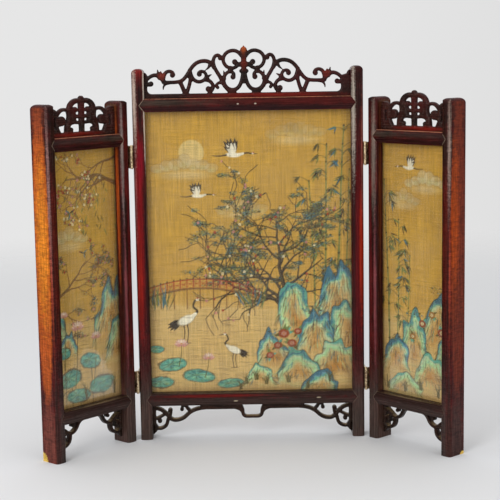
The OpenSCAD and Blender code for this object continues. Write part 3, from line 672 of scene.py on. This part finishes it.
def crag(at, wide, high, lean, hue):
    # one lobe of a garden rock: pale rim, mineral blue and green body, ochre foot
    angles = np.linspace(-0.12, math.pi + 0.12, 15)
    swell = 1 + chance.normal(0, 0.09, len(angles))
    outline = np.stack([at[0] + np.cos(angles) * wide / 2 * swell + lean * np.sin(angles) * high,
                        at[1] + np.sin(angles) * high * swell], 1)
    outline = smoothPath(np.vstack([outline, outline[:1]]), gap=1.5)[:-1]
    part, x, y = near(outline.min(0) - 1, outline.max(0) + 1)
    if not x.size:
        return
    inside, away = outlineFill(x, y, outline)
    rough = cloudy(x, y, wide / 5)
    # the foot of a lobe melts away, so the one in front of it stands clear
    foot = np.clip((y - at[1]) / (0.45 * high) + rough * 0.5, 0, 1)
    fallen = 1 - np.clip((y - at[1]) / high, 0, 1)
    depth = away / (0.32 * wide) + (rough - 0.5) * 0.7 + 0.55 * fallen
    lay(part, inside * foot * 0.92, ramp(depth, rockBands[hue]))
    rim = np.clip((0.6 - np.abs(away - 0.2)) / 0.5, 0, 1) * foot
    lay(part, rim * np.clip(rough * 2.2 - 0.3, 0, 1) * 0.55, "soot")
    for k in range(int(wide * high / 22)):
        # fine wrinkles that fall from the rim and run down the flanks
        t = between(-0.46, 0.46)
        rise = between(0.25, 0.95) * math.cos(t * 2.4)
        a = np.array([at[0] + t * wide + lean * high * rise, at[1] + high * rise])
        run = np.array([t * 0.35 * wide - lean * 4, -between(0.1, 0.24) * high])
        b = a + run + chance.normal(0, 0.7, 2)
        tone = ("umber", "olive", "azurite", "glow", "soot")[chance.integers(5)]
        arc(a, b, chance.normal(0, 0.6, 2), (0.7, 0.6, 0.1), tone, 0.55)


def dotting(at, reach, count, size, inks, strength=0.9):
    # moss or far leaves: many small flat dots inside an oval
    for k in range(count):
        r = math.sqrt(chance.random())
        a = between(0, math.tau)
        spot = (at[0] + reach[0] * r * math.cos(a), at[1] + reach[1] * r * math.sin(a))
        big = size * between(0.7, 1.4)
        blot(spot, (big, big * 0.55), inks[chance.integers(len(inks))],
             strength * between(0.6, 1), soft=0.6)


def branch(start, heading, length, width, level, tips, paint="soot"):
    # a crooked branch with smaller ones along it; the blossoms' places go into tips
    spots = [(*start, width)]
    at = np.array(start, float)
    count = max(3, int(length / 7))
    turn = heading
    for k in range(count):
        turn += chance.normal(0, 15)
        turn += 0.12 * (heading - turn)
        at = at + length / count * np.array(cosSin(turn))
        size = max(0.6, width * (1 - 0.75 * (k + 1) / count))
        spots.append((*at, size))
        if level > 0 and k > 0:
            side = 1 if chance.random() < 0.5 else -1
            branch(at, turn + side * between(30, 65), length * between(0.35, 0.6),
                   size * 0.75, level - 1, tips, paint)
        if level < 2:
            tips.append(tuple(at + chance.normal(0, 0.8, 2)))
    brushLine(spots, paint, 0.92)
    if width > 2:
        lit = [(x - 0.2 * w, y + 0.25 * w, 0.3 * w) for x, y, w in spots]
        brushLine(lit, "ash", 0.7, soft=0.8)


def blossom(at, size, petals="white"):
    first = between(0, 72)
    for k in range(5):
        a = first + 72 * k
        blot(ahead(at, a, 0.55 * size), (0.5 * size, 0.45 * size), petals, 0.95, a, soft=0.4)
    blot(at, (0.28 * size, 0.28 * size), "cinnabar", 0.9, soft=0.6)


def peony(at, size, leafWidth=0.55, outer="cinnabar", inner="rose"):
    # a full flower on its leaves: rings of petals that grow paler inwards
    for k in range(5):
        blade(at, between(0, 360), size * 1.5, size * leafWidth,
              ("leaf", "malachite", "olive")[k % 3], 0.9)
    for ring, (count, reach, tone) in enumerate(((9, 0.62, outer), (7, 0.42, outer), (5, 0.22, inner))):
        for k in range(count):
            a = math.tau * (k + 0.5 * ring) / count + chance.normal(0, 0.1)
            spot = (at[0] + reach * size * math.cos(a), at[1] + reach * size * 0.8 * math.sin(a))
            for wide, high, ink, strength, soft in ((0.36, 0.24, "umber", 0.55, 0.3),
                                                    (0.31, 0.2, tone, 0.9, 0.5)):
                blot(spot, (wide * size, high * size), ink, strength, math.degrees(a) + 90, soft)
    blot(at, (0.16 * size, 0.14 * size), "ochre", 0.9)


def bamboo(foot, head, width, clumps):
    foot, head = np.array(foot, float), np.array(head, float)
    rise = head - foot
    length = np.hypot(*rise)
    joints = max(3, int(length / 17))
    side = np.array([rise[1], -rise[0]]) / length
    for k in range(joints):
        a, b = (foot + rise * (k + t) / joints + side * math.sin(k * 0.5 + bow) * 0.8
                for t, bow in ((0.03, 0), (0.95, 0.4)))
        size = width * (1 - 0.45 * k / joints)
        arc(a, b, 0, (size * 1.12, size * 0.9, size * 1.12), "leaf", 0.85)
        brushLine([(*b, size * 1.3), (*(b + side * 0.01 + (0.1, 0.3)), size * 1.3)], "soot", 0.7)
    for k in range(clumps):
        at = foot + rise * between(0.25, 1)
        out = 1 if chance.random() < 0.5 else -1
        twig = at + np.array([out * between(4, 11), between(2, 8)])
        arc(at, twig, (0, 1), (0.8, 0.6, 0.4), "olive", 0.8)
        for m in range(chance.integers(4, 8)):
            blade(twig + chance.normal(0, 0.8, 2), -90 + out * between(5, 75) + chance.normal(0, 8),
                  between(6, 11), between(1.2, 1.9), moss[chance.choice(4, p=(0.45, 0.3, 0.15, 0.1))],
                  0.88, bend=chance.normal(0, 0.06))


def grass(at, count, length):
    for k in range(count):
        lean = chance.normal(0, 26)
        tall = length * between(0.6, 1.15)
        a = np.array(at) + chance.normal(0, (1.2, 0.3))
        tip = a + tall * np.array(cosSin(lean)[::-1])
        arc(a, tip, (-0.12 * tall * lean / 30, 0.1 * tall), (0.7, 0.7, 0.1), "olive", 0.8)


def lotusLeaf(at, reach, turn):
    # a floating leaf: dark rim, mottled blade, pale ribs from a point off the middle
    c, s = cosSin(turn)

    def spot(along, across):
        dx, dy = along * reach[0], across * reach[1]
        return at[0] + c * dx - s * dy, at[1] + s * dx + c * dy

    blot(at, (reach[0] + 0.5, reach[1] + 0.5), "soot", 0.6, turn, 0.1, 0.16)
    blot(at, reach, "malachite", 0.95, turn, 0.2, 0.16)
    for k in range(16):
        r, a = math.sqrt(chance.random()) * 0.8, between(0, math.tau)
        big = between(0.14, 0.34)
        blot(spot(r * math.cos(a), r * math.sin(a)), (big * reach[0], big * reach[1]),
             ("mint", "azurite", "glow", "leaf")[k % 4], 0.45, turn, 0.9, 0.4)
    hub = spot(-0.15, 0.1)
    for k in range(15):
        a = math.tau * k / 15 + chance.normal(0, 0.08)
        tip = spot(0.9 * math.cos(a), 0.9 * math.sin(a))
        brushLine([(*hub, 0.6), (*tip, 0.3)], ("glow", "soot")[k % 2], 0.5)
    dotting(at, (0.8 * reach[0], 0.8 * reach[1]), 18, 0.6, ("soot", "azurite", "glow"), 0.5)


def lotusFlower(at, size, foot):
    arc(foot, at, (1, 0), (0.9, 0.8, 0.7), "olive", 0.8)
    for turn in (15, 165, 40, 140, 62, 118, 90):
        blade((at[0], at[1] - 0.1 * size), turn, size, 0.5 * size, "rose", 0.9)
        blade(at, turn, 0.85 * size, 0.36 * size, "white", 0.75)
    blot((at[0], at[1] + 0.15 * size), (0.16 * size, 0.12 * size), "ochre", 0.9)


def crane(at, size, flip=1, flying=False):
    # drawn about one unit tall from its feet, then scaled
    def put(x, y):
        return at[0] + flip * size * x, at[1] + size * y

    def stroke(paint, strength, *spots):
        brushLine([(*put(x, y), size * w) for x, y, w in spots], paint, strength)

    def oval(x, y, wide, high, paint, strength=1, turn=0):
        blot(put(x, y), (size * wide, size * high), paint, strength, flip * turn)

    def feather(x, y, turn, length, width, paint, strength):
        blade(put(x, y), turn if flip > 0 else 180 - turn, size * length, size * width, paint, strength)

    if flying:
        for x, turn, length in ((0, 112, 0.5), (0.03, 128, 0.52), (0.06, 145, 0.42),
                                (-0.02, 68, 0.46), (0.02, 84, 0.5), (0, 98, 0.5)):
            feather(x, 0.02, turn, length, 0.15, "soot", 0.9)
            feather(x, 0.02, turn, length * 0.72, 0.14, "white", 0.95)
        oval(0, 0, 0.26, 0.085, "white", 1, -4)
        stroke("soot", 0.85, (-0.2, 0, 0.05), (-0.4, -0.03, 0.03), (-0.62, -0.02, 0.02))
        stroke("soot", 0.85, (0.2, 0, 0.07), (0.4, 0.05, 0.045), (0.58, 0.03, 0.04))
        stroke("white", 0.9, (0.16, 0, 0.1), (0.3, 0.035, 0.07))
        oval(0.6, 0.035, 0.045, 0.035, "white")
        oval(0.61, 0.06, 0.03, 0.02, "cinnabar")
        stroke("soot", 0.9, (0.63, 0.03, 0.025), (0.74, 0.015, 0.01))
        return
    for x in (-0.05, 0.03):
        stroke("soot", 0.85, (x, 0.42, 0.03), (x + 0.02, 0.22, 0.018), (x - 0.01, 0, 0.018))
        stroke("soot", 0.8, (x - 0.05, 0, 0.012), (x + 0.07, 0, 0.012))
    for turn, length in ((200, 0.3), (212, 0.34), (225, 0.33), (238, 0.28)):
        feather(-0.12, 0.5, turn, length, 0.09, "soot", 0.95)
    oval(0, 0.5, 0.23, 0.12, "ash", 0.6, 24)
    oval(0, 0.505, 0.22, 0.112, "white", 1, 24)
    stroke("soot", 0.9, (0.16, 0.58, 0.085), (0.25, 0.7, 0.05), (0.17, 0.8, 0.04),
           (0.2, 0.92, 0.04), (0.26, 0.95, 0.045))
    stroke("white", 0.95, (0.12, 0.56, 0.11), (0.21, 0.64, 0.07))
    oval(0.26, 0.955, 0.045, 0.034, "white")
    oval(0.26, 0.985, 0.034, 0.018, "cinnabar")
    stroke("soot", 0.9, (0.3, 0.95, 0.025), (0.42, 0.925, 0.01))


def swallow(at, size, turn):
    blade(at, turn, size, 0.24 * size, "soot", 0.95)
    for side in (1, -1):
        blade(at, turn + side * 115, 0.85 * size, 0.2 * size, "azurite", 0.9, side * 0.25)
        blade(at, turn + 180 + side * 14, 0.65 * size, 0.09 * size, "soot", 0.9)
    x, y = ahead(at, turn, 0.75 * size)
    blot((x, y - 0.03 * size), (0.12 * size, 0.1 * size), "cinnabar", 0.8)


def cloudBank(at, wide, lobes, strength):
    # a stylised cloud: one scalloped rim, pale inside, melting away below
    puffs = []
    big = wide / lobes
    for k in range(lobes):
        t = (k + 0.5) / lobes - 0.5
        rise = big * (0.5 - 1.6 * abs(t)) + chance.normal(0, 0.6)
        puffs.append(((at[0] + wide * t, at[1] + rise),
                      (big * 0.8, big * (0.85 - 0.8 * abs(t)) * between(0.85, 1.15))))
    for grow, paint, amount, soft in ((0.45, "umber", 0.75, 0.1), (0, "shell", 0.8, 0.12)):
        for spot, (u, v) in puffs:
            blot(spot, (u + grow, v + grow), paint, amount * strength, soft=soft)
    for (x, y), (u, v) in puffs:
        blot((x, y - 0.5 * v), (0.75 * u, 0.7 * v), "mint", 0.6 * strength, soft=0.9)
    blot((at[0], at[1] - big * 0.9), (wide * 0.56, big * 0.75), "mist", 0.9, soft=0.7)


def footbridge(left, right, low, rise):
    # a red lacquered garden bridge with a railing, bowed in the middle
    def deck(x, lift, width):
        return x, low + lift + rise * (1 - ((2 * x - left - right) / (right - left)) ** 2), width

    posts = np.linspace(left, right, round((right - left) / 6.5) + 1)
    for x in posts[1:-1:2]:
        brushLine([deck(x, 0, 1.1), (x, low - 9, 1.1)], "umber", 0.85)
    for x in posts:
        brushLine([deck(x, 0, 0.9), deck(x, 9.5, 0.9)], "cinnabar", 0.9)
        blot(deck(x, 10, 0)[:2], (0.9, 0.9), "soot", 0.8)
    for a, b in zip(posts[:-1], posts[1:]):
        for start, end in ((1.5, 7), (7, 1.5)):
            brushLine([deck(a, start, 0.5), deck(b, end, 0.5)], "cinnabar", 0.6)
    for lift, width, paint in ((-0.6, 2, "umber"), (0.8, 0.8, "ochre"), (4.4, 0.5, "cinnabar"),
                               (8.4, 0.9, "cinnabar"), (9.2, 0.4, "soot")):
        brushLine([deck(x, lift, width) for x in posts], paint, 0.9)


def ripples(box, count):
    for k in range(count):
        x, y, half = between(*box[:2]), between(*box[2:]), between(4, 13)
        brushLine([(x - half, y, 0.1), (x - half / 3, y + 0.5, 0.45),
                   (x + half / 3, y - 0.2, 0.4), (x + half, y + 0.3, 0.1)], "ash", 0.5)


def each(draw, *rows):
    for row in rows:
        draw(*row)


def picked(spots, count):
    # some of the spots, in a random order, each with its number
    return [(k, spots[k]) for k in chance.permutation(len(spots))[:count]]


def paleWaterAndReflection(level, tilt, paint, strength):
    # pale water below a line that rises to the right; it also stands as a painted reflection of the
    # pale floor in the lower part of the glass
    x, y = np.meshgrid(canvas["x"], canvas["y"])
    edge = level + tilt * x + 5 * (cloudy(x, y * 3, 40) - 0.5)
    below = np.clip((edge - y) / 1.2, 0, 1) * (0.55 + 0.45 * np.exp(-(edge - y) / 25))
    lay(whole, below * strength, paint)


def paintCentre():
    paleWaterAndReflection(92, -0.05, "mist", 0.65)
    blot((47, 243), (13, 13), "shell", 0.5, soft=0.08)
    blot((44, 241), (16, 15), "mist", 0.3, soft=0.9)
    each(cloudBank, ((40, 229), 62, 7, 0.4), ((96, 188), 48, 6, 0.3), ((150, 262), 56, 6, 0.25))
    crane((88, 240), 33, flying=True)
    crane((52, 200), 27, flying=True)
    each(bamboo, ((187, 70), (198, 268), 2.4, 20), ((176, 76), (181, 250), 2, 18),
         ((168, 70), (163, 214), 1.7, 13), ((196, 80), (203, 225), 1.6, 10))
    tips = []
    each(branch, ((145, 70), 112, 104, 5.6, 3, tips), ((136, 92), 140, 88, 3.6, 2, tips),
         ((134, 98), 42, 46, 2.6, 1, tips))
    for k, at in picked(tips, 260):
        if 108 < at[1] < 232:
            reach = (between(3.5, 8), between(1.8, 3.4))
            blot(at, reach, ("olive", "azurite", "leaf")[k % 3], 0.4, soft=0.9)
            dotting(at, reach, 20, 0.95, ("olive", "soot", "soot", "leaf", "azurite"))
    for k, at in picked(tips, 80):
        blossom(at, between(1.1, 1.7), ("rose", "shell", "cinnabar")[k % 3])
    each(crag, ((186, 62), 44, 70, 0.1, "blue"), ((150, 56), 36, 56, -0.1, "green"),
         ((200, 34), 40, 62, 0, "green"), ((166, 34), 42, 50, 0.1, "blue"),
         ((128, 26), 34, 36, -0.2, "blue"), ((188, 12), 44, 40, 0, "pale"),
         ((150, 8), 44, 32, 0, "green"), ((112, 6), 34, 22, 0, "pale"),
         ((172, -6), 40, 26, 0.1, "blue"))
    each(dotting, ((186, 128), (14, 5), 40, 1.3, moss), ((150, 112), (12, 4), 30, 1.3, moss),
         ((168, 84), (14, 5), 36, 1.3, moss), ((126, 62), (11, 4), 26, 1.3, moss))
    each(peony, ((136, 60), 7), ((144, 50), 6), ((130, 48), 5.5), ((150, 62), 5), ((122, 38), 5))
    footbridge(-6, 112, 96, 12)
    for x, lean in ((6, 10), (16, -6), (100, 8), (108, -8)):
        for k in range(14):
            foot = (x + chance.normal(0, 3), 88 + chance.normal(0, 2))
            blade(foot, 90 + lean + chance.normal(0, 16), between(14, 30), 1.2,
                  ("olive", "leaf", "azurite")[k % 3], 0.8, chance.normal(0, 0.12))
    crane((38, 52), 46)
    crane((86, 26), 36, -1)
    ripples((6, 110, 8, 88), 60)
    each(lotusLeaf, ((24, 30), (15, 7), 8), ((50, 18), (17, 7), -6), ((12, 12), (13, 6), 0),
         ((82, 10), (14, 5), 5), ((8, 46), (8, 4), 0))
    each(lotusFlower, ((33, 50), 8, (30, 28)), ((60, 36), 7, (56, 16)))
    for x in (92, 99, 108, 118, 140, 160, 181):
        grass((x, between(3, 16)), 9, 12)


def paintLeft():
    paleWaterAndReflection(84, 0.05, "mist", 0.5)
    cloudBank((24, 166), 44, 5, 0.45)
    tips = []
    branch((86, 214), 168, 66, 4.5, 3, tips, "umber")
    branch((86, 240), 200, 46, 2.6, 2, tips, "umber")
    for k, at in picked(tips, 110):
        reach = (between(2, 4.5), between(1.4, 2.4))
        dotting(at, reach, 9, 0.7, ("olive", "soot", "leaf", "azurite"), 0.8)
        blossom(at, between(1.1, 1.7), ("rose", "shell", "cinnabar")[k % 3])
    for k in range(46):
        at = (between(20, 84), between(170, 226))
        blade(at, between(230, 310), between(5, 9), 1.6, ("leaf", "olive")[k % 2], 0.7)
    low = []
    branch((-4, 104), 38, 62, 3.4, 3, low, "umber")
    branch((-4, 92), 12, 44, 2.4, 2, low, "umber")
    for k, at in picked(low, 120):
        reach = (between(2.5, 5), between(1.6, 2.8))
        dotting(at, reach, 16, 0.85, ("olive", "soot", "umber", "azurite"), 0.85)
        if k % 3 == 0:
            blossom(at, between(1, 1.5), ("rose", "cinnabar")[k % 2])
    each(swallow, ((26, 190), 8, 25), ((42, 150), 7, 160))
    each(crag, ((72, 60), 40, 66, 0.1, "blue"), ((84, 40), 34, 44, 0, "green"),
         ((4, 60), 30, 34, 0, "green"), ((18, 52), 24, 22, 0.1, "blue"))
    dotting((72, 124), (10, 4), 26, 1.2, ("olive", "soot", "leaf"))
    ripples((4, 60, 8, 78), 34)
    for (x, y), reach, turn in (((20, 30), (15, 9), 12), ((46, 44), (14, 8), -10),
                                ((60, 18), (17, 9), 6), ((30, 12), (16, 7), -4),
                                ((12, 56), (10, 6), 0)):
        brushLine([(x, y, 0.9), (x + 2, y / 2, 0.9), (x + 2, 2, 0.8)], "olive", 0.7)
        lotusLeaf((x, y), reach, turn)
    each(lotusFlower, ((31, 78), 9, (26, 20)), ((54, 66), 7.5, (50, 20)), ((14, 92), 6, (14, 40)))
    for x in (6, 40, 76):
        grass((x, 6), 8, 22)


def paintRight():
    paleWaterAndReflection(74, -0.06, "mist", 0.5)
    each(cloudBank, ((56, 214), 50, 6, 0.55), ((28, 196), 38, 5, 0.4))
    crane((36, 226), 26, -1, flying=True)
    each(bamboo, ((10, 40), (4, 214), 2.1, 16), ((20, 44), (22, 176), 1.7, 12),
         ((31, 38), (36, 142), 1.4, 8))
    each(crag, ((70, 52), 42, 60, 0.1, "blue"), ((44, 36), 36, 48, -0.1, "green"),
         ((84, 28), 36, 40, 0, "green"), ((20, 24), 34, 34, 0, "blue"),
         ((62, 10), 44, 34, 0, "pale"), ((30, 2), 44, 22, 0.1, "pale"))
    each(dotting, ((70, 110), (10, 4), 24, 1.2, moss), ((42, 84), (10, 3), 24, 1.2, moss),
         ((20, 58), (8, 3), 24, 1.2, moss))
    each(peony, ((52, 76), 5.5, 0.5, "cinnabar", "shell"), ((64, 86), 5, 0.5, "ochre", "shell"),
         ((76, 70), 6, 0.5, "cinnabar", "shell"), ((40, 62), 4.5, 0.5, "ochre", "shell"))
    ripples((4, 82, 4, 40), 14)
    for x in (8, 30, 50, 72):
        grass((x, between(3, 12)), 10, 13)


def silkTone():
    # age: foxing spots, a browner border that is also painted shade from the frame, faint stains
    x, y = np.meshgrid(canvas["x"], canvas["y"])
    wide, high = canvas["wide"], canvas["high"]
    edge = np.minimum(np.minimum(x, wide - x), np.minimum(y, high - y))
    lay(whole, np.exp(-edge / 5) * 0.45, "umber")
    lay(whole, np.clip(cloudy(x, y, 50) * 1.6 - 0.9, 0, 1) * 0.28, "umber")
    lay(whole, np.clip(cloudy(x, y, 34) * 1.6 - 0.95, 0, 1) * 0.18, "ochre")
    for k in range(int(wide * high / 1500)):
        spot = (between(0, wide), between(0, high))
        big = between(0.3, 0.9)
        blot(spot, (big, big), "umber", 0.5, soft=0.8)


# Plain-woven silk, painted in ink and mineral colours: matt, with slubs that show as fine
# upright and level streaks. Its threads are 0.1 mm apart, so the streaks are drawn coarser.
def paintedSilk(add, place):
    paint = add("Attribute", attribute_name="paint")
    upright, level, bands = (drawnNoise(add, place, s, 2) for s in silkLook["streaks"])
    weave = add("Mix", {0: 0.45, 2: upright, 3: level})
    cloth = add("Mix", {0: 0.12, 2: weave, 3: bands})
    shade = add("MapRange", (cloth, 0.38, 0.62, 0.74, 1.22))
    colour = add("VectorMath", {0: paint, "Scale": shade}, "SCALE")
    ridge = add("Bump", {"Height": weave, "Strength": 0.25, "Distance": 0.0001})
    return add("BsdfPrincipled", {
        "Base Color": colour, "Roughness": silkLook["roughness"], "Normal": ridge,
        "Specular IOR Level": silkLook["shine"]})


def addPicture(panel, painter):
    node = panel + "_silk"
    corners = toPanel(panel, [v.co[:] for v in meshOf(node).vertices])
    low, size = corners.min(0), np.ptp(corners, 0)
    newCanvas(size[0], size[2])
    painter()
    silkTone()
    cols, rows = len(canvas["x"]), len(canvas["y"])
    x, y = np.meshgrid(canvas["x"], canvas["y"])
    u = low[0] + (x if panels[panel]["flip"] > 0 else size[0] - x)
    front = np.stack([u, np.full(u.shape, silkLook["front"]), low[2] + y], -1).reshape(-1, 3)
    number = np.arange(rows * cols).reshape(rows, cols)
    ring = np.concatenate([number[0], number[1:, -1], number[-1, -2::-1], number[-2:0:-1, 0]])
    back = front[ring].copy()
    back[:, 1] = silkLook["back"]
    behind = np.arange(len(ring)) + rows * cols
    quads = np.stack([number[:-1, :-1], number[:-1, 1:], number[1:, 1:], number[1:, :-1]],
                     -1).reshape(-1, 4)
    walls = np.stack([np.roll(ring, -1), ring, behind, np.roll(behind, -1)], 1)
    mesh = bpy.data.meshes.new(node)
    mesh.from_pydata(toWorld(panel, np.vstack([front, back])).tolist(), [],
                     quads.tolist() + walls.tolist() + [behind[::-1].tolist()])
    flat = canvas["tones"].reshape(-1, 3)
    paint = np.ones((len(front) + len(back), 4))
    paint[:, :3] = linear(np.clip(np.vstack([flat, flat[ring]]), 0, 1))
    layer = mesh.color_attributes.new("paint", "FLOAT_COLOR", "POINT")
    layer.data.foreach_set("color", paint.ravel())
    piece = newPiece(node, "_painted", panel, mesh, newMaterial("silk." + panel, panel, paintedSilk))
    print("painted", panel)


addPicture("centre", paintCentre)
addPicture("left", paintLeft)
addPicture("right", paintRight)


# Window glass, drawn and cut, a little dusty: it gives a faint gloss and hides nothing.
glass = {"ior": 1.45, "sheen": 0.22, "smear": 22, "gloss": (0.02, 0.12), "film": (0.01, 0.06),
         "dust": "#b9b4a4"}


def cutGlass(add, place):
    smears = add("TexNoise", {"Vector": place, "Scale": 1 / glass["smear"], "Detail": 3})
    gloss = add("MapRange", (smears, 0.3, 0.7, *glass["gloss"]))
    film = add("MapRange", (smears, 0.35, 0.75, *glass["film"]))
    clear = add("BsdfTransparent")
    mirror = add("BsdfGlossy", {"Color": (1, 1, 1, 1), "Roughness": gloss})
    dusty = add("BsdfDiffuse", {"Color": linear(glass["dust"])})
    edge = add("Fresnel", {"IOR": glass["ior"]})
    sheen = add("Math", (edge, glass["sheen"]), "MULTIPLY")
    seen = add("MixShader", (film, clear, dusty))
    return add("MixShader", (sheen, seen, mirror))


# Brass, rolled and stamped, long tarnished: a dull pinkish yellow, brown in the low places.
brass = {"bright": "#dcc8a2", "tarnish": "#6a4a38", "blotch": 2.6, "gloss": (0.3, 0.5), "dents": 0.05}


def tarnishedBrass(add, place):
    blotch = add("TexNoise", {"Vector": place, "Scale": 1000 / brass["blotch"], "Detail": 5,
                              "Roughness": 0.6})
    colour = tint(add, brass["bright"], brass["tarnish"], blotch, (0.4, 0.65))
    gloss = add("MapRange", (blotch, 0.3, 0.7, *brass["gloss"]))
    dents = add("Bump", {"Height": blotch, "Strength": 0.3, "Distance": brass["dents"] / 1000})
    return add("BsdfPrincipled", {"Base Color": colour, "Metallic": 1, "Roughness": gloss,
                                  "Normal": dents})


# Iron wire, drawn and cut, browned by age: near black with rusty spots.
iron = {"dark": "#5a5552", "rust": "#5b3826", "spotsPerMetre": 900, "roughness": 0.55, "metallic": 0.8}


def dullIron(add, place):
    spots = add("TexNoise", {"Vector": place, "Scale": iron["spotsPerMetre"], "Detail": 4})
    colour = tint(add, iron["dark"], iron["rust"], spots, (0.45, 0.62))
    return add("BsdfPrincipled", {"Base Color": colour, "Metallic": iron["metallic"],
                                  "Roughness": iron["roughness"]})


# Cedar board, sawn thin and left bare behind the picture: dry brown with upright grain. It
# is sliced flat, so the year rings run in slow waves with fine fibres between.
cedar = {"pale": "#a98a63", "dark": "#7a5a38", "stain": "#6a5138", "stainSize": 45,
         "rings": (6, 1, 420), "fibres": (0.9, 1, 25), "waveLength": 110,
         "waveDepth": 9, "roughness": 0.8, "shine": 0.3, "grainDepth": 0.12}


def bareCedar(add, place):
    bend = add("TexNoise", {"Vector": place, "Scale": 1 / cedar["waveLength"], "Detail": 2})
    bent = add("VectorMath", (bend.outputs[1], (cedar["waveDepth"],) * 3, place), "MULTIPLY_ADD")
    rings = drawnNoise(add, bent, cedar["rings"], 2, 0.5)
    fibre = drawnNoise(add, place, cedar["fibres"], 4)
    grain = add("Mix", {0: 0.45, 2: rings, 3: fibre})
    clouds = add("TexNoise", {"Vector": place, "Scale": 1 / cedar["stainSize"], "Detail": 4})
    colour = tint(add, cedar["pale"], cedar["dark"], grain, (0.36, 0.66))
    colour = tint(add, colour, cedar["stain"], clouds, (0.5, 0.75, 0, 0.7))
    ridge = add("Bump", {"Height": grain, "Strength": 0.4, "Distance": cedar["grainDepth"] / 1000})
    return add("BsdfPrincipled", {
        "Base Color": colour, "Roughness": cedar["roughness"], "Normal": ridge,
        "Specular IOR Level": cedar["shine"]})


hingeMetal = newMaterial("brass.hinges", None, tarnishedBrass)
bradMetal = newMaterial("iron.brads", None, dullIron)
for panel in panels:
    dress(meshOf(panel + "_glass"), newMaterial("glass." + panel, panel, cutGlass))
    dress(meshOf(panel + "_board"), newMaterial("cedar." + panel, panel, bareCedar))
    dress(meshOf(panel + "_brads"), bradMetal)
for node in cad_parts:
    if node.endswith(("_leaf", "_pin", "_screws")):
        dress(meshOf(node), hingeMetal)
print("glass, boards and fittings dressed")


# A plain pale floor that fades into the pale room. A soft lamp stands at the left front, a
# weak one at the right, and a third hangs overhead. Lamps have their place, size and power;
# these and the floor's sizes are in metres. What lights the things is a share of the tone
# that the eye sees.
room = {"tone": "#e6e6e6", "rightTone": "#d6d6d6", "floor": "#e5e6e8", "radius": 1.9,
        "fade": (0.7, 1.7), "ambient": 0.63 / 0.79,
        "lamps": {"key": ((-0.85, -1.45, 0.9), (0.7, 0.9), 12.5),
                  "fill": ((1.2, -1.3, 0.8), (0.9, 0.9), 3.5),
                  "overhead": ((0, 0.3, 1.6), (1.9, 1.5), 8.5)}}


def addLamp(name, place, size, power):
    data = bpy.data.lights.new(name, "AREA")
    data.shape = "RECTANGLE"
    data.size, data.size_y = size
    data.energy = power
    lamp = newObject(name, data)
    lamp.location = place
    aim = Vector((0, 0, 0.2)) - Vector(place)
    lamp.rotation_euler = aim.to_track_quat("-Z", "Y").to_euler()


def addWorld():
    world = bpy.data.worlds.new("room")
    world.use_nodes = True
    world.node_tree.nodes.clear()
    add = partial(addNode, world.node_tree)
    # the eye, gloss and glass see the pale room at its full tone
    ray = add("LightPath").outputs
    seen = add("Math", (ray["Is Camera Ray"], ray["Is Glossy Ray"]), "MAXIMUM")
    seen = add("Math", (seen, ray["Is Transmission Ray"]), "MAXIMUM")
    level = add("MapRange", {"Value": seen, "To Min": room["ambient"]})
    # the sweep darkens a little towards the right
    heading = add("TexCoord").outputs["Generated"]
    aside = add("SeparateXYZ", (heading,)).outputs[0]
    sweep = tint(add, room["tone"], room["rightTone"], aside, (0, 0.45),
                 interpolation_type="SMOOTHSTEP")
    add("OutputWorld", (add("Background", (sweep, level)),))
    bpy.context.scene.world = world


def paperFloor(add, place):
    far = add("VectorMath", (place,), "LENGTH")
    fade = add("MapRange", (far, *room["fade"]), interpolation_type="SMOOTHSTEP")
    matt = add("BsdfDiffuse", {"Color": linear(room["floor"])})
    return add("MixShader", (fade, matt, add("BsdfTransparent")))


def addFloor():
    ring = [(*ahead((0, 0), turn, room["radius"]), 0) for turn in np.arange(96) * 3.75]
    mesh = bpy.data.meshes.new("floor")
    mesh.from_pydata(ring, [], [list(range(len(ring)))])
    dress(mesh, newMaterial("paper floor", None, paperFloor))
    newObject("floor", mesh)


bpy.context.scene.view_settings.view_transform = "Standard"
addWorld()
addFloor()
for name, lamp in room["lamps"].items():
    addLamp(name, *lamp)
print("room lit")
